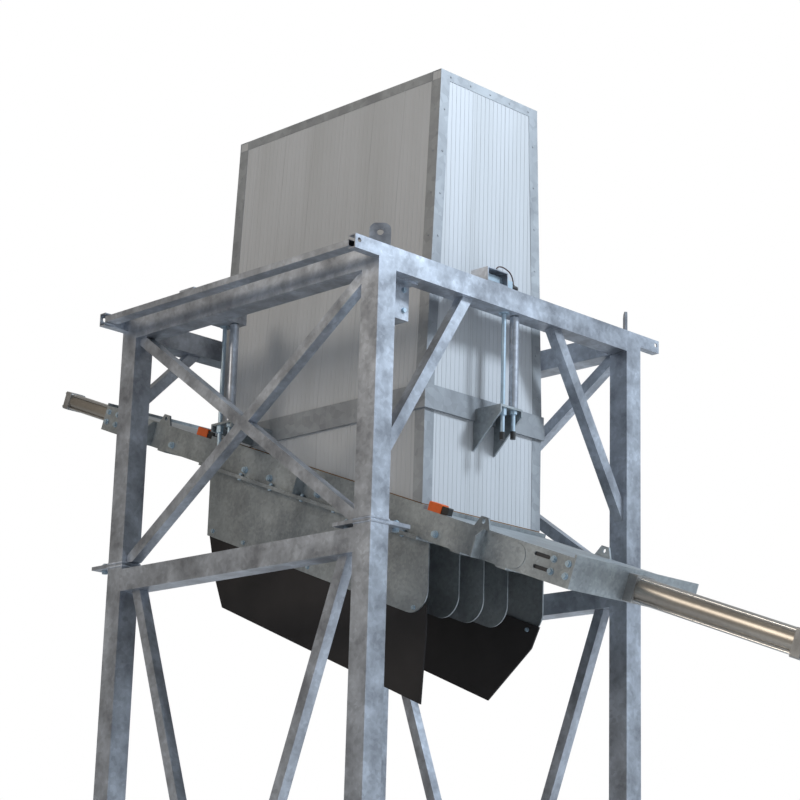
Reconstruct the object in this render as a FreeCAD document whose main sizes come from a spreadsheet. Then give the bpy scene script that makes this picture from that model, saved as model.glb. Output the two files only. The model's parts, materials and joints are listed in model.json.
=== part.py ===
"""Suspended insulated weigh hopper with an inclined double slide gate.

Built about the plan centre of the support frame, on the floor: +Z up, +Y uphill along the gate,
lengths in millimetres. Front is the -Y side, back +Y, left -X, right +X. At the end every node is
moved along Y so that the origin is the bottom centre of the whole.
"""
import FreeCAD, Part
import math
import os

V = FreeCAD.Vector
doc = FreeCAD.newDocument("WeighHopper")

# ---------------------------------------------------------------- driving dimensions
SIZES = {
    # support frame
    "frame_x": 1700, "frame_y": 1700, "col": 100, "col_wall": 5,
    "lower_height": 1850, "upper_column": 1050, "flange_thick": 8, "flange_size": 223,
    "base_size": 220, "base_thick": 15, "base_hole": 18, "base_pitch": 160,
    "beam_gap": 17, "brace": 50, "brace_wall": 4, "brace_inset": 180,
    "foot_x": 160, "foot_y": 240, "knee_height": 300, "knee_reach": 458, "back_knee": 270,
    "stub_length": 137, "stub_high": 60, "stub_wide": 40, "stub_hole": 20, "stub_wall": 5,
    "rail_wide": 60, "rail_high": 28, "rail_drop": 18, "rail_wall": 3,
    "lug_wide": 90, "lug_high": 105, "lug_thick": 12, "lug_hole": 28, "lug_round": 30,
    "bolt": 16, "bolt_clear": 1,
    "stay_long": 177, "stay_deep": 100, "stay_high": 158, "stay_wall": 8, "stay_bolt": 12,
    # hopper
    "hopper_shift": 20, "hopper_x": 742, "hopper_y": 1360, "panel": 50,
    "panel_skin": 2, "ring_level": 577, "ring_high": 108, "ring_proud": 11, "ring_wide": 61,
    "ring_trim": 3, "upper_panel": 1466, "upper_base_x": 748, "upper_top_x": 638,
    "trim_lap": 6, "trim_thick": 2, "rim_high": 42,
    # suspension
    "rod": 20, "rod_pitch": 68, "rod_clear": 1.5, "sleeve": 42.4, "sleeve_wall": 3,
    "sleeve_gap": 5, "rod_tail": 150, "cap_long": 34, "cap_wall": 2,
    "side_bracket_high": 54, "front_reach": 148, "side_reach": 247, "bracket_half": 66, "bracket_plate": 10,
    "bracket_high": 187, "gusset": 8, "bracket_edge": 22, "side_hanger_y": 372,
    "arm_wide": 120, "arm_past_rod": 47, "nut_high": 16, "nut_flats": 30,
    "cell": 40, "cell_base": 8, "cell_grip": 96, "front_cell_reach": 146, "cell_past_beam": 27,
    "cell_past_rod": 30, "housing_x": 130, "housing_y": 100,
    "housing_high": 65, "housing_wall": 5, "cell_bolt": 12, "collar": 14, "collar_high": 10,
    "collar_off": 40, "gland": 26, "gland_long": 44, "gland_outlet": 26, "cable": 6,
    # gate
    "slope": 20.3, "gate_rise": 260, "gate_wide": 772, "gate_lower": 1598, "gate_upper": 1690,
    "channel": 120, "channel_leg": 55, "channel_web": 7, "channel_thick": 9,
    "base_bar": 20, "seal_thick": 4, "cover": 4, "end_plate": 10, "end_rise": 17,
    "blade": 8, "blade_level": 58, "blade_long": 750, "blade_side": 5,
    "blade_gap": 0.5, "strip": 40, "wiper": 12, "tie_flat": 60, "rib_out": 52, "rib": 8,
    "guide_bolt": 16, "guide_level": 38, "slot_long": 88, "slot_high": 16, "slot_inset": 170, "lip": 24,
    "eye_base": 92, "eye_top": 42, "eye_high": 46, "eye_hole": 20, "eye_thick": 10,
    # cylinders
    "stroke": 750, "bore": 80, "lower_bore": 100, "head_over": 15, "tie_share": 0.9,
    "barrel_wall": 4, "head_thick": 45,
    "piston": 35, "rod_dia": 25, "tie_rod": 10, "cushion": 5,
    "run_clear": 0.1, "clevis_wide": 44, "clevis_eye": 24, "clevis_jaw": 13, "pin": 20,
    # sensors
    "sensor": 40, "sensor_body": 78, "sensor_plug": 39,
    # chute
    "chute_frame": 8, "chute_drop": 330, "chute_front": 717, "chute_back": 734,
    "cheek_x": 726, "cheek": 6, "fin_pitch": 152, "fin_setback": 21, "corner": 90,
    "skirt": 8, "skirt_lap": 60, "skirt_drop": 350, "skirt_draw": 119,
    "far_skirt_cut": 300, "skirt_bolt": 10,
}
sheet = doc.addObject("Spreadsheet::Sheet", "Dim")
for row, (alias, value) in enumerate(SIZES.items(), start=1):
    sheet.set("A%d" % row, alias)
    sheet.set("B%d" % row, str(value))
    sheet.setAlias("B%d" % row, alias)
doc.recompute()


def size(alias):
    """A driving dimension as a number, for shapes that Part's own functions make."""
    return float(sheet.get(alias))


# Levels that several sub-parts share, as expressions of the sheet.
FLANGE_TOP = "(Dim.lower_height+Dim.flange_thick)"
BEAM_LOW = "(%s+Dim.upper_column)" % FLANGE_TOP
BEAM_TOP = "(%s+Dim.col)" % BEAM_LOW
RING_LOW = "(%s+Dim.ring_level)" % FLANGE_TOP
RING_TOP = "(%s+Dim.ring_high)" % RING_LOW
COL_X = "(Dim.frame_x/2-Dim.col/2)"
COL_Y = "(Dim.frame_y/2-Dim.col/2)"
SIGNS = (-1, 1)
AXES = {"x": (V(0, 1, 0), 90), "y": (V(1, 0, 0), -90), "z": (V(0, 0, 1), 0)}


# ---------------------------------------------------------------- building blocks
def put(obj, x, y, z, axis=V(0, 0, 1), turn="0"):
    """Place an object by expressions for its base point and its turn about an axis."""
    obj.Placement = FreeCAD.Placement(V(0, 0, 0), FreeCAD.Rotation(axis, 1))
    obj.setExpression("Placement.Rotation.Angle", "(%s)*1 deg" % turn)
    for name, value in (("x", x), ("y", y), ("z", z)):
        obj.setExpression("Placement.Base." + name, "(%s)*1 mm" % value)
    return obj


def box(cx, cy, z, lx, ly, lz):
    """Block centred on cx, cy that stands on z."""
    obj = doc.addObject("Part::Box", "Box")
    for name, value in (("Length", lx), ("Width", ly), ("Height", lz)):
        obj.setExpression(name, value)
    return put(obj, "(%s)-(%s)/2" % (cx, lx), "(%s)-(%s)/2" % (cy, ly), z)


def rod(x, y, z, dia, length, axis="z"):
    """Round bar from x, y, z along an axis."""
    obj = doc.addObject("Part::Cylinder", "Cylinder")
    obj.setExpression("Radius", "(%s)/2" % dia)
    obj.setExpression("Height", length)
    direction, turn = AXES[axis]
    return put(obj, x, y, z, direction, str(turn))


def cut(base, *tools):
    obj = doc.addObject("Part::Cut", "Cut")
    obj.Base = base
    obj.Tool = tools[0] if len(tools) == 1 else bundle(*tools)
    return obj


def bundle(*members):
    obj = doc.addObject("Part::Compound", "Compound")
    obj.Links = list(members)
    return obj


def hollow(cx, cy, z, lx, ly, lz, wall, along):
    """Rectangular tube whose bore runs along x, y or z."""
    inner = {"x": (lx, "(%s)-2*(%s)" % (ly, wall), "(%s)-2*(%s)" % (lz, wall)),
             "y": ("(%s)-2*(%s)" % (lx, wall), ly, "(%s)-2*(%s)" % (lz, wall)),
             "z": ("(%s)-2*(%s)" % (lx, wall), "(%s)-2*(%s)" % (ly, wall), lz)}[along]
    floor = z if along == "z" else "(%s)+(%s)" % (z, wall)
    return cut(box(cx, cy, z, lx, ly, lz), box(cx, cy, floor, *inner))


def pipe(x, y, z, dia, bore, length, axis="z"):
    return cut(rod(x, y, z, dia, length, axis), rod(x, y, z, bore, length, axis))


nodes = {}


def node(label, *members):
    """A named sub-part: one body, or a group of equal ones."""
    obj = bundle(*members)
    obj.Label = label
    nodes[label] = obj
    return obj


def shape_node(label, shape, placement=FreeCAD.Placement()):
    """A named sub-part whose outline neither a primitive nor a boolean gives."""
    obj = doc.addObject("Part::Feature", "Feature")
    obj.Shape = shape
    obj.Placement = placement
    obj.Label = label
    nodes[label] = obj
    return obj


def solid_feature(shape):
    obj = doc.addObject("Part::Feature", "Feature")
    obj.Shape = shape
    return obj


def plate(points, direction, thick):
    """Flat plate with a polygon outline, thickened along direction."""
    face = Part.Face(Part.makePolygon(points + [points[0]]))
    return face.extrude(direction * thick)


def hexagon(flats, high, at, direction=V(0, 0, 1)):
    """Hexagonal prism from a point, along a direction."""
    spots = [V(math.cos(math.radians(60 * k)), math.sin(math.radians(60 * k)), 0)
             * (flats / math.sqrt(3)) for k in range(6)]
    prism = plate(spots, V(0, 0, 1), high)
    prism.Placement = FreeCAD.Placement(at, FreeCAD.Rotation(V(0, 0, 1), direction))
    return prism


def disc(dia, high, at, direction=V(0, 0, 1)):
    return Part.makeCylinder(dia / 2, high, at, direction)


def bolt(dia, grip, at, direction=V(0, 0, 1)):
    """Bolt with washers and nut: the head sits at a point and the shank runs along direction."""
    washer = 0.15 * dia
    parts = [hexagon(1.55 * dia, 0.62 * dia, at - direction * (washer + 0.62 * dia), direction),
             disc(2.0 * dia, washer, at - direction * washer, direction),
             disc(dia, grip, at, direction),
             disc(2.0 * dia, washer, at + direction * grip, direction),
             hexagon(1.55 * dia, 0.8 * dia, at + direction * (grip + washer), direction),
             disc(dia, 0.25 * dia, at + direction * (grip + washer + 0.8 * dia), direction)]
    whole = parts[0].multiFuse(parts[1:])
    return whole.removeSplitter()


def rounded(shape, radius, picks):
    """Fillet the edges that a test picks."""
    edges = [e for e in shape.Edges if picks(e)]
    return shape.makeFillet(radius, edges)


# ---------------------------------------------------------------- support frame
def corners():
    return [(sx, sy) for sx in SIGNS for sy in SIGNS]


def build_base():
    plates = []
    for sx, sy in corners():
        x, y = "%d*%s" % (sx, COL_X), "%d*%s" % (sy, COL_Y)
        pad = box(x, y, "0", "Dim.base_size", "Dim.base_size", "Dim.base_thick")
        holes = [rod("%s+%d*Dim.base_pitch/2" % (x, hx), "%s+%d*Dim.base_pitch/2" % (y, hy), "0",
                     "Dim.base_hole", "Dim.base_thick") for hx, hy in corners()]
        plates.append(cut(pad, *holes))
    for sx in SIGNS:
        x = "%d*%s" % (sx, COL_X)
        pad = box(x, "0", "0", "Dim.foot_x", "Dim.foot_y", "Dim.base_thick")
        holes = [rod(x, "%d*(Dim.foot_y/2-30)" % sy, "0", "Dim.base_hole", "Dim.base_thick")
                 for sy in SIGNS]
        plates.append(cut(pad, *holes))
    node("base_plates", *plates)


def build_columns():
    lower, upper = [], []
    for sx, sy in corners():
        x, y = "%d*%s" % (sx, COL_X), "%d*%s" % (sy, COL_Y)
        lower.append(hollow(x, y, "Dim.base_thick", "Dim.col", "Dim.col",
                            "Dim.lower_height-Dim.flange_thick-Dim.base_thick", "Dim.col_wall", "z"))
        upper.append(hollow(x, y, FLANGE_TOP, "Dim.col", "Dim.col", "Dim.upper_column",
                            "Dim.col_wall", "z"))
    node("lower_columns", *lower)
    node("upper_columns", *upper)


def flange_centre(sx, sy):
    """Flange plates sit flush with the column's front face and run inwards in x."""
    x = "%d*(Dim.frame_x/2-Dim.flange_size/2)" % sx
    front = "-Dim.frame_y/2" if sy < 0 else "(Dim.frame_y/2-Dim.col)"
    return x, "%s+Dim.flange_size/2" % front


def flange_bolt_spots():
    """Bolt places on the two free edges and the free corner of each flange."""
    spots = []
    half, edge = size("flange_size") / 2, 34
    col_off = size("flange_size") / 2 - size("col") / 2
    for sx, sy in corners():
        cx = sx * (size("frame_x") / 2 - half)
        front = -size("frame_y") / 2 if sy < 0 else size("frame_y") / 2 - size("col")
        cy = front + half
        inner_x, inner_y = cx - sx * (half - edge), cy + half - edge
        spots += [(inner_x, inner_y), (inner_x, cy - col_off), (cx + sx * col_off, inner_y)]
    return spots


def build_flanges():
    plates = []
    for low in ("(Dim.lower_height-Dim.flange_thick)", "Dim.lower_height"):
        for sx, sy in corners():
            x, y = flange_centre(sx, sy)
            plates.append(box(x, y, low, "Dim.flange_size", "Dim.flange_size", "Dim.flange_thick"))
    holes = [rod(str(x), str(y), "Dim.lower_height-Dim.flange_thick", "Dim.bolt+2*Dim.bolt_clear",
                 "2*Dim.flange_thick") for x, y in flange_bolt_spots()]
    tools = bundle(*holes)
    cuts = []
    for one in plates:
        cuts.append(cut(one, tools))
    node("flange_plates", *cuts)


def build_beams():
    lower_y = "(Dim.frame_y-2*Dim.col)"
    beam_low = "(Dim.lower_height-Dim.flange_thick-Dim.beam_gap-Dim.col)"
    cross, side, low = [], [], []
    for s in SIGNS:
        cross.append(hollow("0", "%d*%s" % (s, COL_Y), BEAM_LOW, "Dim.frame_x", "Dim.col", "Dim.col",
                            "Dim.col_wall", "x"))
        side.append(hollow("%d*%s" % (s, COL_X), "0", BEAM_LOW, "Dim.col", lower_y, "Dim.col",
                           "Dim.col_wall", "y"))
        low.append(hollow("%d*%s" % (s, COL_X), "0", beam_low, "Dim.col", lower_y, "Dim.col",
                          "Dim.col_wall", "y"))
    hole = "Dim.rod+2*Dim.rod_clear"
    holes = [rod("%d*Dim.rod_pitch/2" % s, "-%s" % COL_Y, BEAM_LOW, hole, "Dim.col") for s in SIGNS]
    cross[0] = cut(cross[0], *holes)
    inside = "(Dim.col-2*Dim.col_wall)"
    for s in SIGNS:
        for sx in SIGNS:
            cross.append(box("%d*(Dim.frame_x/2-Dim.col_wall/2)" % sx, "%d*%s" % (s, COL_Y),
                             "%s+Dim.col_wall" % BEAM_LOW, "Dim.col_wall", inside, inside))
    node("top_cross_beams", *cross)
    node("top_side_beams", *side)
    node("lower_side_beams", *low)


def square_tube(p, q, wide, wall, cutters=()):
    """Square tube along p to q in the plane x = constant or y = constant, cut back by blocks."""
    axis = q - p
    length = axis.Length
    outer = Part.makeBox(wide, wide, length, V(-wide / 2, -wide / 2, 0))
    bore = Part.makeBox(wide - 2 * wall, wide - 2 * wall, length,
                        V(wall - wide / 2, wall - wide / 2, 0))
    tube = outer.cut(bore)
    up = axis.normalize()
    flat = V(1, 0, 0) if abs(up.x) < 1e-6 else V(0, 1, 0)
    side = up.cross(flat)
    turn = FreeCAD.Matrix(flat.x, side.x, up.x, p.x, flat.y, side.y, up.y, p.y,
                          flat.z, side.z, up.z, p.z, 0, 0, 0, 1)
    tube = tube.transformed(turn, True)
    for one in cutters:
        tube = tube.cut(one)
    return tube


def block(x0, x1, y0, y1, z0, z1):
    return Part.makeBox(x1 - x0, y1 - y0, z1 - z0, V(x0, y0, z0))


def clipped(tube, x=None, y=None, z=None):
    """Keep what lies inside the given spans."""
    far = 9000
    spans = [span or (-far, far) for span in (x, y, z)]
    return tube.common(block(*spans[0], *spans[1], *spans[2]))


def build_braces():
    col, wide, wall = size("col"), size("brace"), size("brace_wall")
    fx, fy = size("frame_x") / 2, size("frame_y") / 2
    flange_top = size("lower_height") + size("flange_thick")
    beam_low = flange_top + size("upper_column")
    side_low = size("lower_height") - size("flange_thick") - size("beam_gap") - col
    span = 400
    vees, crosses, knees = [], [], []
    for sx in SIGNS:
        x = sx * (fx - col / 2)
        for sy in SIGNS:
            top = V(x, sy * (fy - size("brace_inset")), side_low)
            foot = V(x, sy * wide * 0.62, size("base_thick"))
            run = (top - foot).normalize() * span
            tube = square_tube(foot - run, top + run, wide, wall)
            inner = (0, fy) if sy > 0 else (-fy, 0)
            vees.append(clipped(tube, y=inner, z=(size("base_thick"), side_low)))
        # one continuous diagonal, the other in two halves that butt against it
        a, b = V(x, -(fy - col), beam_low), V(x, fy - col, flange_top)
        run = (b - a).normalize() * span
        inside = dict(y=(-(fy - col), fy - col), z=(flange_top, beam_low))
        whole = clipped(square_tube(a - run, b + run, wide, wall), **inside)
        c, d = V(x, -(fy - col), flange_top), V(x, fy - col, beam_low)
        rise = (d - c).normalize() * span
        other = clipped(square_tube(c - rise, d + rise, wide, wall), **inside)
        other = other.cut(tube_envelope(a - run, b + run, wide))
        crosses += [whole] + other.Solids
    for sy in SIGNS:
        y = sy * (fy - col / 2)
        for sx in SIGNS:
            # the back pair are short, at about 45 degrees
            foot = flange_top + size("knee_height") if sy < 0 else beam_low - size("back_knee")
            reach = size("knee_reach") if sy < 0 else size("back_knee")
            low = V(sx * (fx - col), y, foot)
            high = V(sx * (fx - col - reach), y, beam_low)
            run = (high - low).normalize() * span
            tube = square_tube(low - run, high + run, wide, wall)
            spread = (0, fx - col) if sx > 0 else (-(fx - col), 0)
            knees.append(clipped(tube, x=spread, z=(flange_top, beam_low)))
    shape_node("v_braces", Part.makeCompound(vees))
    shape_node("x_braces", Part.makeCompound(crosses))
    shape_node("knee_braces", Part.makeCompound(knees))


def tube_envelope(p, q, wide):
    """The solid bar that a square tube fills."""
    axis = q - p
    bar = Part.makeBox(wide, wide, axis.Length, V(-wide / 2, -wide / 2, 0))
    up = axis.normalize()
    flat = V(1, 0, 0)
    side = up.cross(flat)
    turn = FreeCAD.Matrix(flat.x, side.x, up.x, p.x, flat.y, side.y, up.y, p.y,
                          flat.z, side.z, up.z, p.z, 0, 0, 0, 1)
    return bar.transformed(turn, True)


def build_stubs():
    stubs = []
    for sx, sy in corners():
        x = "%d*(Dim.frame_x/2+Dim.stub_length/2)" % sx
        y = "%d*(Dim.frame_y/2-Dim.stub_wide/2)" % sy
        z = "%s-Dim.stub_high" % BEAM_TOP
        outer = box(x, y, z, "Dim.stub_length", "Dim.stub_wide", "Dim.stub_high")
        inner = box(x, "%s-%d*Dim.stub_wall" % (y, sy), "%s+Dim.stub_wall" % z, "Dim.stub_length",
                    "Dim.stub_wide", "Dim.stub_high-2*Dim.stub_wall")
        hole = rod("%d*(Dim.frame_x/2+Dim.stub_length-23)" % sx, "%s-Dim.stub_wide" % y,
                   "%s-Dim.stub_high/2+6" % BEAM_TOP, "Dim.stub_hole", "2*Dim.stub_wide", "y")
        stubs.append(cut(outer, inner, hole))
    node("beam_stubs", *stubs)
    rail = hollow("-(Dim.frame_x/2+Dim.stub_length-Dim.rail_wide/2)", "0",
                  "%s-Dim.rail_drop-Dim.rail_high" % BEAM_TOP, "Dim.rail_wide",
                  "Dim.frame_y-2*Dim.stub_wide", "Dim.rail_high", "Dim.rail_wall", "y")
    node("edge_rail", rail)


def build_lugs():
    """Lifting lugs on the corners, square to the plan diagonals."""
    wide, high, thick = size("lug_wide"), size("lug_high"), size("lug_thick")
    pad = Part.makeBox(wide, thick, high, V(-wide / 2, -thick / 2, 0))
    pad = rounded(pad, size("lug_round"), lambda e: abs(e.CenterOfMass.z - high) < 1e-6
                  and abs(abs(e.CenterOfMass.x) - wide / 2) < 1e-6)
    hole = Part.makeCylinder(size("lug_hole") / 2, thick + 2, V(0, -thick / 2 - 1, high * 0.62),
                             V(0, 1, 0))
    pad = pad.cut(hole)
    top = size("lower_height") + size("flange_thick") + size("upper_column") + size("col")
    lugs = []
    for sx, sy in [corner for corner in corners() if corner != (-1, 1)]:
        one = pad.copy()
        at = V(sx * (size("frame_x") / 2 - size("col") / 2),
               sy * (size("frame_y") / 2 - size("col") / 2), top)
        one.Placement = FreeCAD.Placement(at, FreeCAD.Rotation(V(0, 0, 1), -45 * sx * sy))
        lugs.append(one)
    shape_node("lifting_lugs", Part.makeCompound(lugs))


def build_stay():
    """Bracket for a sway stop, bolted under the front beam beside the front left column."""
    x = "-(Dim.frame_x/2-Dim.col-Dim.stay_long/2)"
    y = "-(Dim.frame_y/2-Dim.col-Dim.stay_deep/2)"
    z = "%s-Dim.stay_high" % BEAM_LOW
    outer = box(x, y, z, "Dim.stay_long", "Dim.stay_deep", "Dim.stay_high")
    inner = box(x, "%s+Dim.stay_wall" % y, "%s+Dim.stay_wall" % z, "Dim.stay_long-2*Dim.stay_wall",
                "Dim.stay_deep", "Dim.stay_high")
    holes = [rod("%s+Dim.stay_long*0.33" % x, "%s-Dim.stay_deep" % y, "%s+%s*Dim.stay_high" % (z, at),
                 "Dim.stay_bolt", "2*Dim.stay_deep", "y") for at in ("0.27", "0.83")]
    tongue = box(x, "-(Dim.frame_y/2-Dim.col)", "%s-Dim.stay_wall" % BEAM_LOW, "Dim.stay_long",
                 "Dim.col", "Dim.stay_wall")
    ear = cut(tongue, box(x, y, "%s-Dim.stay_wall" % BEAM_LOW, "Dim.stay_long", "Dim.stay_deep",
                          "Dim.stay_wall"))
    shell = cut(outer, inner, *holes)
    joined = doc.addObject("Part::Fuse", "Fuse")
    joined.Base, joined.Tool = shell, ear
    node("stay_bracket", joined)


def build_frame_bolts():
    bolts = []
    low = size("lower_height") - size("flange_thick")
    for x, y in flange_bolt_spots():
        bolts.append(bolt(size("bolt"), 2 * size("flange_thick"), V(x, y, low)))
    x = -(size("frame_x") / 2 - size("col") - size("stay_long") / 2) + size("stay_long") * 0.33
    y = -(size("frame_y") / 2 - size("col"))
    z = size("lower_height") + size("flange_thick") + size("upper_column") - size("stay_high")
    for at in (0.27, 0.83):
        bolts.append(bolt(size("stay_bolt"), size("stay_wall"),
                          V(x, y, z + at * size("stay_high")), V(0, 1, 0)))
    bolts += build_cells()
    shape_node("frame_bolts", Part.makeCompound(bolts))


# ---------------------------------------------------------------- hopper
def gate_frame():
    """Placement of the gate's own frame: x across, y up the slope, z square to it."""
    level = size("lower_height") + size("flange_thick") + size("gate_rise")
    return FreeCAD.Placement(V(0, size("hopper_shift"), level),
                             FreeCAD.Rotation(V(1, 0, 0), size("slope")))


def above_gate(shape, level):
    """Cut away what lies below a plane parallel to the gate."""
    tool = Part.makeBox(4000, 8000, 3000, V(-2000, -4000, level - 3000))
    tool.Placement = gate_frame()
    return shape.cut(tool)


def hopper_seat():
    """Top of the seal that the hopper's walls stand on, above the gate's underside."""
    return size("channel") + size("base_bar") + size("seal_thick")


def ring_bars(half_x, half_y, thick, low, high):
    """Four bars round a rectangle: front and back run full width, the sides fit between."""
    shift = size("hopper_shift")
    return [block(-half_x, half_x, shift - half_y, shift - half_y + thick, low, high),
            block(-half_x, half_x, shift + half_y - thick, shift + half_y, low, high),
            block(-half_x, -half_x + thick, shift - half_y + thick, shift + half_y - thick,
                  low, high),
            block(half_x - thick, half_x, shift - half_y + thick, shift + half_y - thick,
                  low, high)]


def ring_levels():
    low = size("lower_height") + size("flange_thick") + size("ring_level")
    return low, low + size("ring_high")


def build_ring():
    low, top = ring_levels()
    half_x = size("hopper_x") / 2 + size("ring_proud")
    half_y = size("hopper_y") / 2 + size("ring_proud")
    beam = [above_gate(bar, hopper_seat())
            for bar in ring_bars(half_x, half_y, size("ring_wide"), low, top)]
    shape_node("ring_beam", Part.makeCompound(beam))
    skin = size("ring_trim")
    gaps = bracket_pads()
    bars = []
    for bar in ring_bars(half_x + skin, half_y + skin, skin, low, (low + top) / 2):
        bar = above_gate(bar, hopper_seat())
        for gap in gaps:
            bar = bar.cut(gap)
        bars += bar.Solids
    shape_node("ring_trim", Part.makeCompound(bars))


def upper_panel_solids():
    """Front and back panels are trapezoids, the side panels lean in with them.

    Each is a sheet cassette, open at the rim under its capping.
    """
    skin = size("panel_skin")
    low, base = ring_levels()[1], size("upper_base_x") / 2
    top, crown = low + size("upper_panel"), size("upper_top_x") / 2
    half_y, thick, shift = size("hopper_y") / 2, size("panel"), size("hopper_shift")
    outline = [V(-base, 0, low), V(base, 0, low), V(crown, 0, top), V(-crown, 0, top)]
    front = plate([p + V(0, shift - half_y, 0) for p in outline], V(0, 1, 0), thick)
    back = plate([p + V(0, shift + half_y - thick, 0) for p in outline], V(0, 1, 0), thick)
    pocket = [V(-base + skin, 0, low + skin), V(base - skin, 0, low + skin),
              V(crown - skin, 0, top), V(-crown + skin, 0, top)]
    front = front.cut(plate([p + V(0, shift - half_y + skin, 0) for p in pocket], V(0, 1, 0),
                            thick - 2 * skin))
    back = back.cut(plate([p + V(0, shift + half_y - thick + skin, 0) for p in pocket],
                          V(0, 1, 0), thick - 2 * skin))
    sides = []
    for sx in SIGNS:
        strip = [V(sx * base, shift - half_y + thick, low), V(sx * crown, shift - half_y + thick, top),
                 V(sx * (crown - thick), shift - half_y + thick, top),
                 V(sx * (base - thick), shift - half_y + thick, low)]
        edge = shift - half_y + thick + skin
        pocket = [V(sx * (base - skin), edge, low + skin), V(sx * (crown - skin), edge, top),
                  V(sx * (crown - thick + skin), edge, top),
                  V(sx * (base - thick + skin), edge, low + skin)]
        side = plate(strip, V(0, 1, 0), 2 * (half_y - thick))
        sides.append(side.cut(plate(pocket, V(0, 1, 0), 2 * (half_y - thick - skin))))
    return [front, back] + sides


def build_panels():
    low, top = ring_levels()
    half_x, half_y = size("hopper_x") / 2, size("hopper_y") / 2
    skin, deep = size("panel_skin"), size("panel")
    walls = []
    for wall in ring_bars(half_x, half_y, deep, low - 1200, low):
        b = wall.BoundBox
        walls.append(wall.cut(block(b.XMin + skin, b.XMax - skin, b.YMin + skin, b.YMax - skin,
                                    b.ZMin, b.ZMax - skin)))
    # at the back the gate has risen past the ring, so no wall is left below it there
    shape_node("lower_front_panel", above_gate(walls[0], hopper_seat()))
    shape_node("lower_side_panels", Part.makeCompound([above_gate(one, hopper_seat()) for one in walls[2:]]))
    panels = upper_panel_solids()
    ends = [above_gate(one, hopper_seat()) for one in panels[:2]]
    shape_node("upper_end_panels", Part.makeCompound(ends))
    shape_node("upper_side_panels", Part.makeCompound(panels[2:]))


def angle_trim(outer, legs, thick, sx, sy, low, high):
    """Folded corner angle outside a vertical or leaning corner; outer gives (x, y) at a level."""
    def ring_at(level):
        x, y = outer(level)
        o = V(sx * (x + thick), y + sy * thick, level)
        return [o, o + V(-sx * (legs + thick), 0, 0), o + V(-sx * (legs + thick), -sy * thick, 0),
                o + V(-sx * thick, -sy * thick, 0), o + V(-sx * thick, -sy * (legs + thick), 0),
                o + V(0, -sy * (legs + thick), 0)]
    wires = [Part.makePolygon(ring + [ring[0]]) for ring in (ring_at(low), ring_at(high))]
    return Part.makeLoft(wires, True, True)


def build_trims():
    low, top = ring_levels()
    crown = top + size("upper_panel")
    half_y, shift = size("hopper_y") / 2, size("hopper_shift")
    base, head = size("upper_base_x") / 2, size("upper_top_x") / 2
    thick, legs = size("trim_thick"), size("panel") + size("trim_lap")
    rim_low = crown - size("rim_high")

    def leaning(level):
        return base + (head - base) * (level - top) / (crown - top)
    trims = []
    for sx, sy in corners():
        edge = shift + sy * half_y
        upper = angle_trim(lambda level: (leaning(level), edge), legs, thick, sx, sy,
                           top, rim_low)
        trims += above_gate(upper, hopper_seat()).Solids
        lower = angle_trim(lambda level: (size("hopper_x") / 2, edge), legs, thick, sx, sy,
                           low - 1200, low)
        trims += above_gate(lower, hopper_seat()).Solids
    shape_node("corner_trims", Part.makeCompound(trims))
    # the capping over the open rim: outer face, top and inner face in one folded profile
    skin = thick
    x1, x0 = leaning(rim_low), head
    bars = []
    for sy in SIGNS:
        face = shift + sy * half_y
        out, inn = face + sy * skin, face - sy * (size("panel") + skin)
        outline = [V(0, out, rim_low), V(0, out, crown + skin), V(0, inn, crown + skin),
                   V(0, inn, rim_low), V(0, inn + sy * skin, rim_low),
                   V(0, inn + sy * skin, crown), V(0, out - sy * skin, crown),
                   V(0, out - sy * skin, rim_low)]
        profile = [p + V(-head - skin - 8, 0, 0) for p in outline]
        cap = plate(profile, V(1, 0, 0), 2 * (head + skin + 8))
        # the inner leg stops at the side panels
        legs_y = sorted((inn, inn + sy * skin))
        for sx in SIGNS:
            spans = sorted((sx * (head - size("panel")), sx * 2000))
            cap = cap.cut(block(spans[0], spans[1], legs_y[0], legs_y[1], rim_low - 1, crown))
        bars.append(trim_to_taper(cap, leaning, rim_low, crown, skin))
    for sx in SIGNS:
        inner_y = half_y - size("panel") - skin
        outline = [(x1 + skin, rim_low), (x0 + skin, crown + skin),
                   (x0 - size("panel") - skin, crown + skin), (x1 - size("panel") - skin, rim_low),
                   (x1 - size("panel"), rim_low), (x0 - size("panel"), crown), (x0, crown),
                   (x1, rim_low)]
        profile = [V(sx * x, shift - inner_y, z) for x, z in outline]
        bars.append(plate(profile, V(0, 1, 0), 2 * inner_y))
    shape_node("top_trim", Part.makeCompound(bars))


def trim_to_taper(shape, leaning, low, high, skin):
    """Cut a bar's ends to the lean of the side faces."""
    for sx in SIGNS:
        outline = [V(sx * (leaning(low) + skin), -2000, low - 1), V(sx * 2000, -2000, low - 1),
                   V(sx * 2000, -2000, high + 50), V(sx * (leaning(high) + skin), -2000, high + 50)]
        shape = shape.cut(plate(outline, V(0, 1, 0), 4000))
    return shape


# ---------------------------------------------------------------- suspension
def hangers():
    """Each hanger: rod line centre, outward direction, and the way from loaded rod to sleeve."""
    side_x = size("hopper_x") / 2 + size("ring_proud") + size("side_reach") - size("bracket_edge")
    front_y = -(size("frame_y") / 2 - size("col") / 2)
    return [(V(0, front_y, 0), V(0, -1, 0), V(1, 0, 0), size("front_reach")),
            (V(-side_x, size("side_hanger_y"), 0), V(-1, 0, 0), V(0, -1, 0), size("side_reach")),
            (V(side_x, size("side_hanger_y"), 0), V(1, 0, 0), V(0, 1, 0), size("side_reach"))]


def lifted(shape, centre, out, along, level):
    """Move a shape drawn with x along the rod pair and y inwards to its hanger."""
    inward = out * -1
    turn = FreeCAD.Matrix(along.x, inward.x, 0, centre.x, along.y, inward.y, 0, centre.y,
                          0, 0, 1, level, 0, 0, 0, 1)
    return shape.transformed(turn, True)


def beam_levels():
    low = size("lower_height") + size("flange_thick") + size("upper_column")
    return low, low + size("col")


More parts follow.
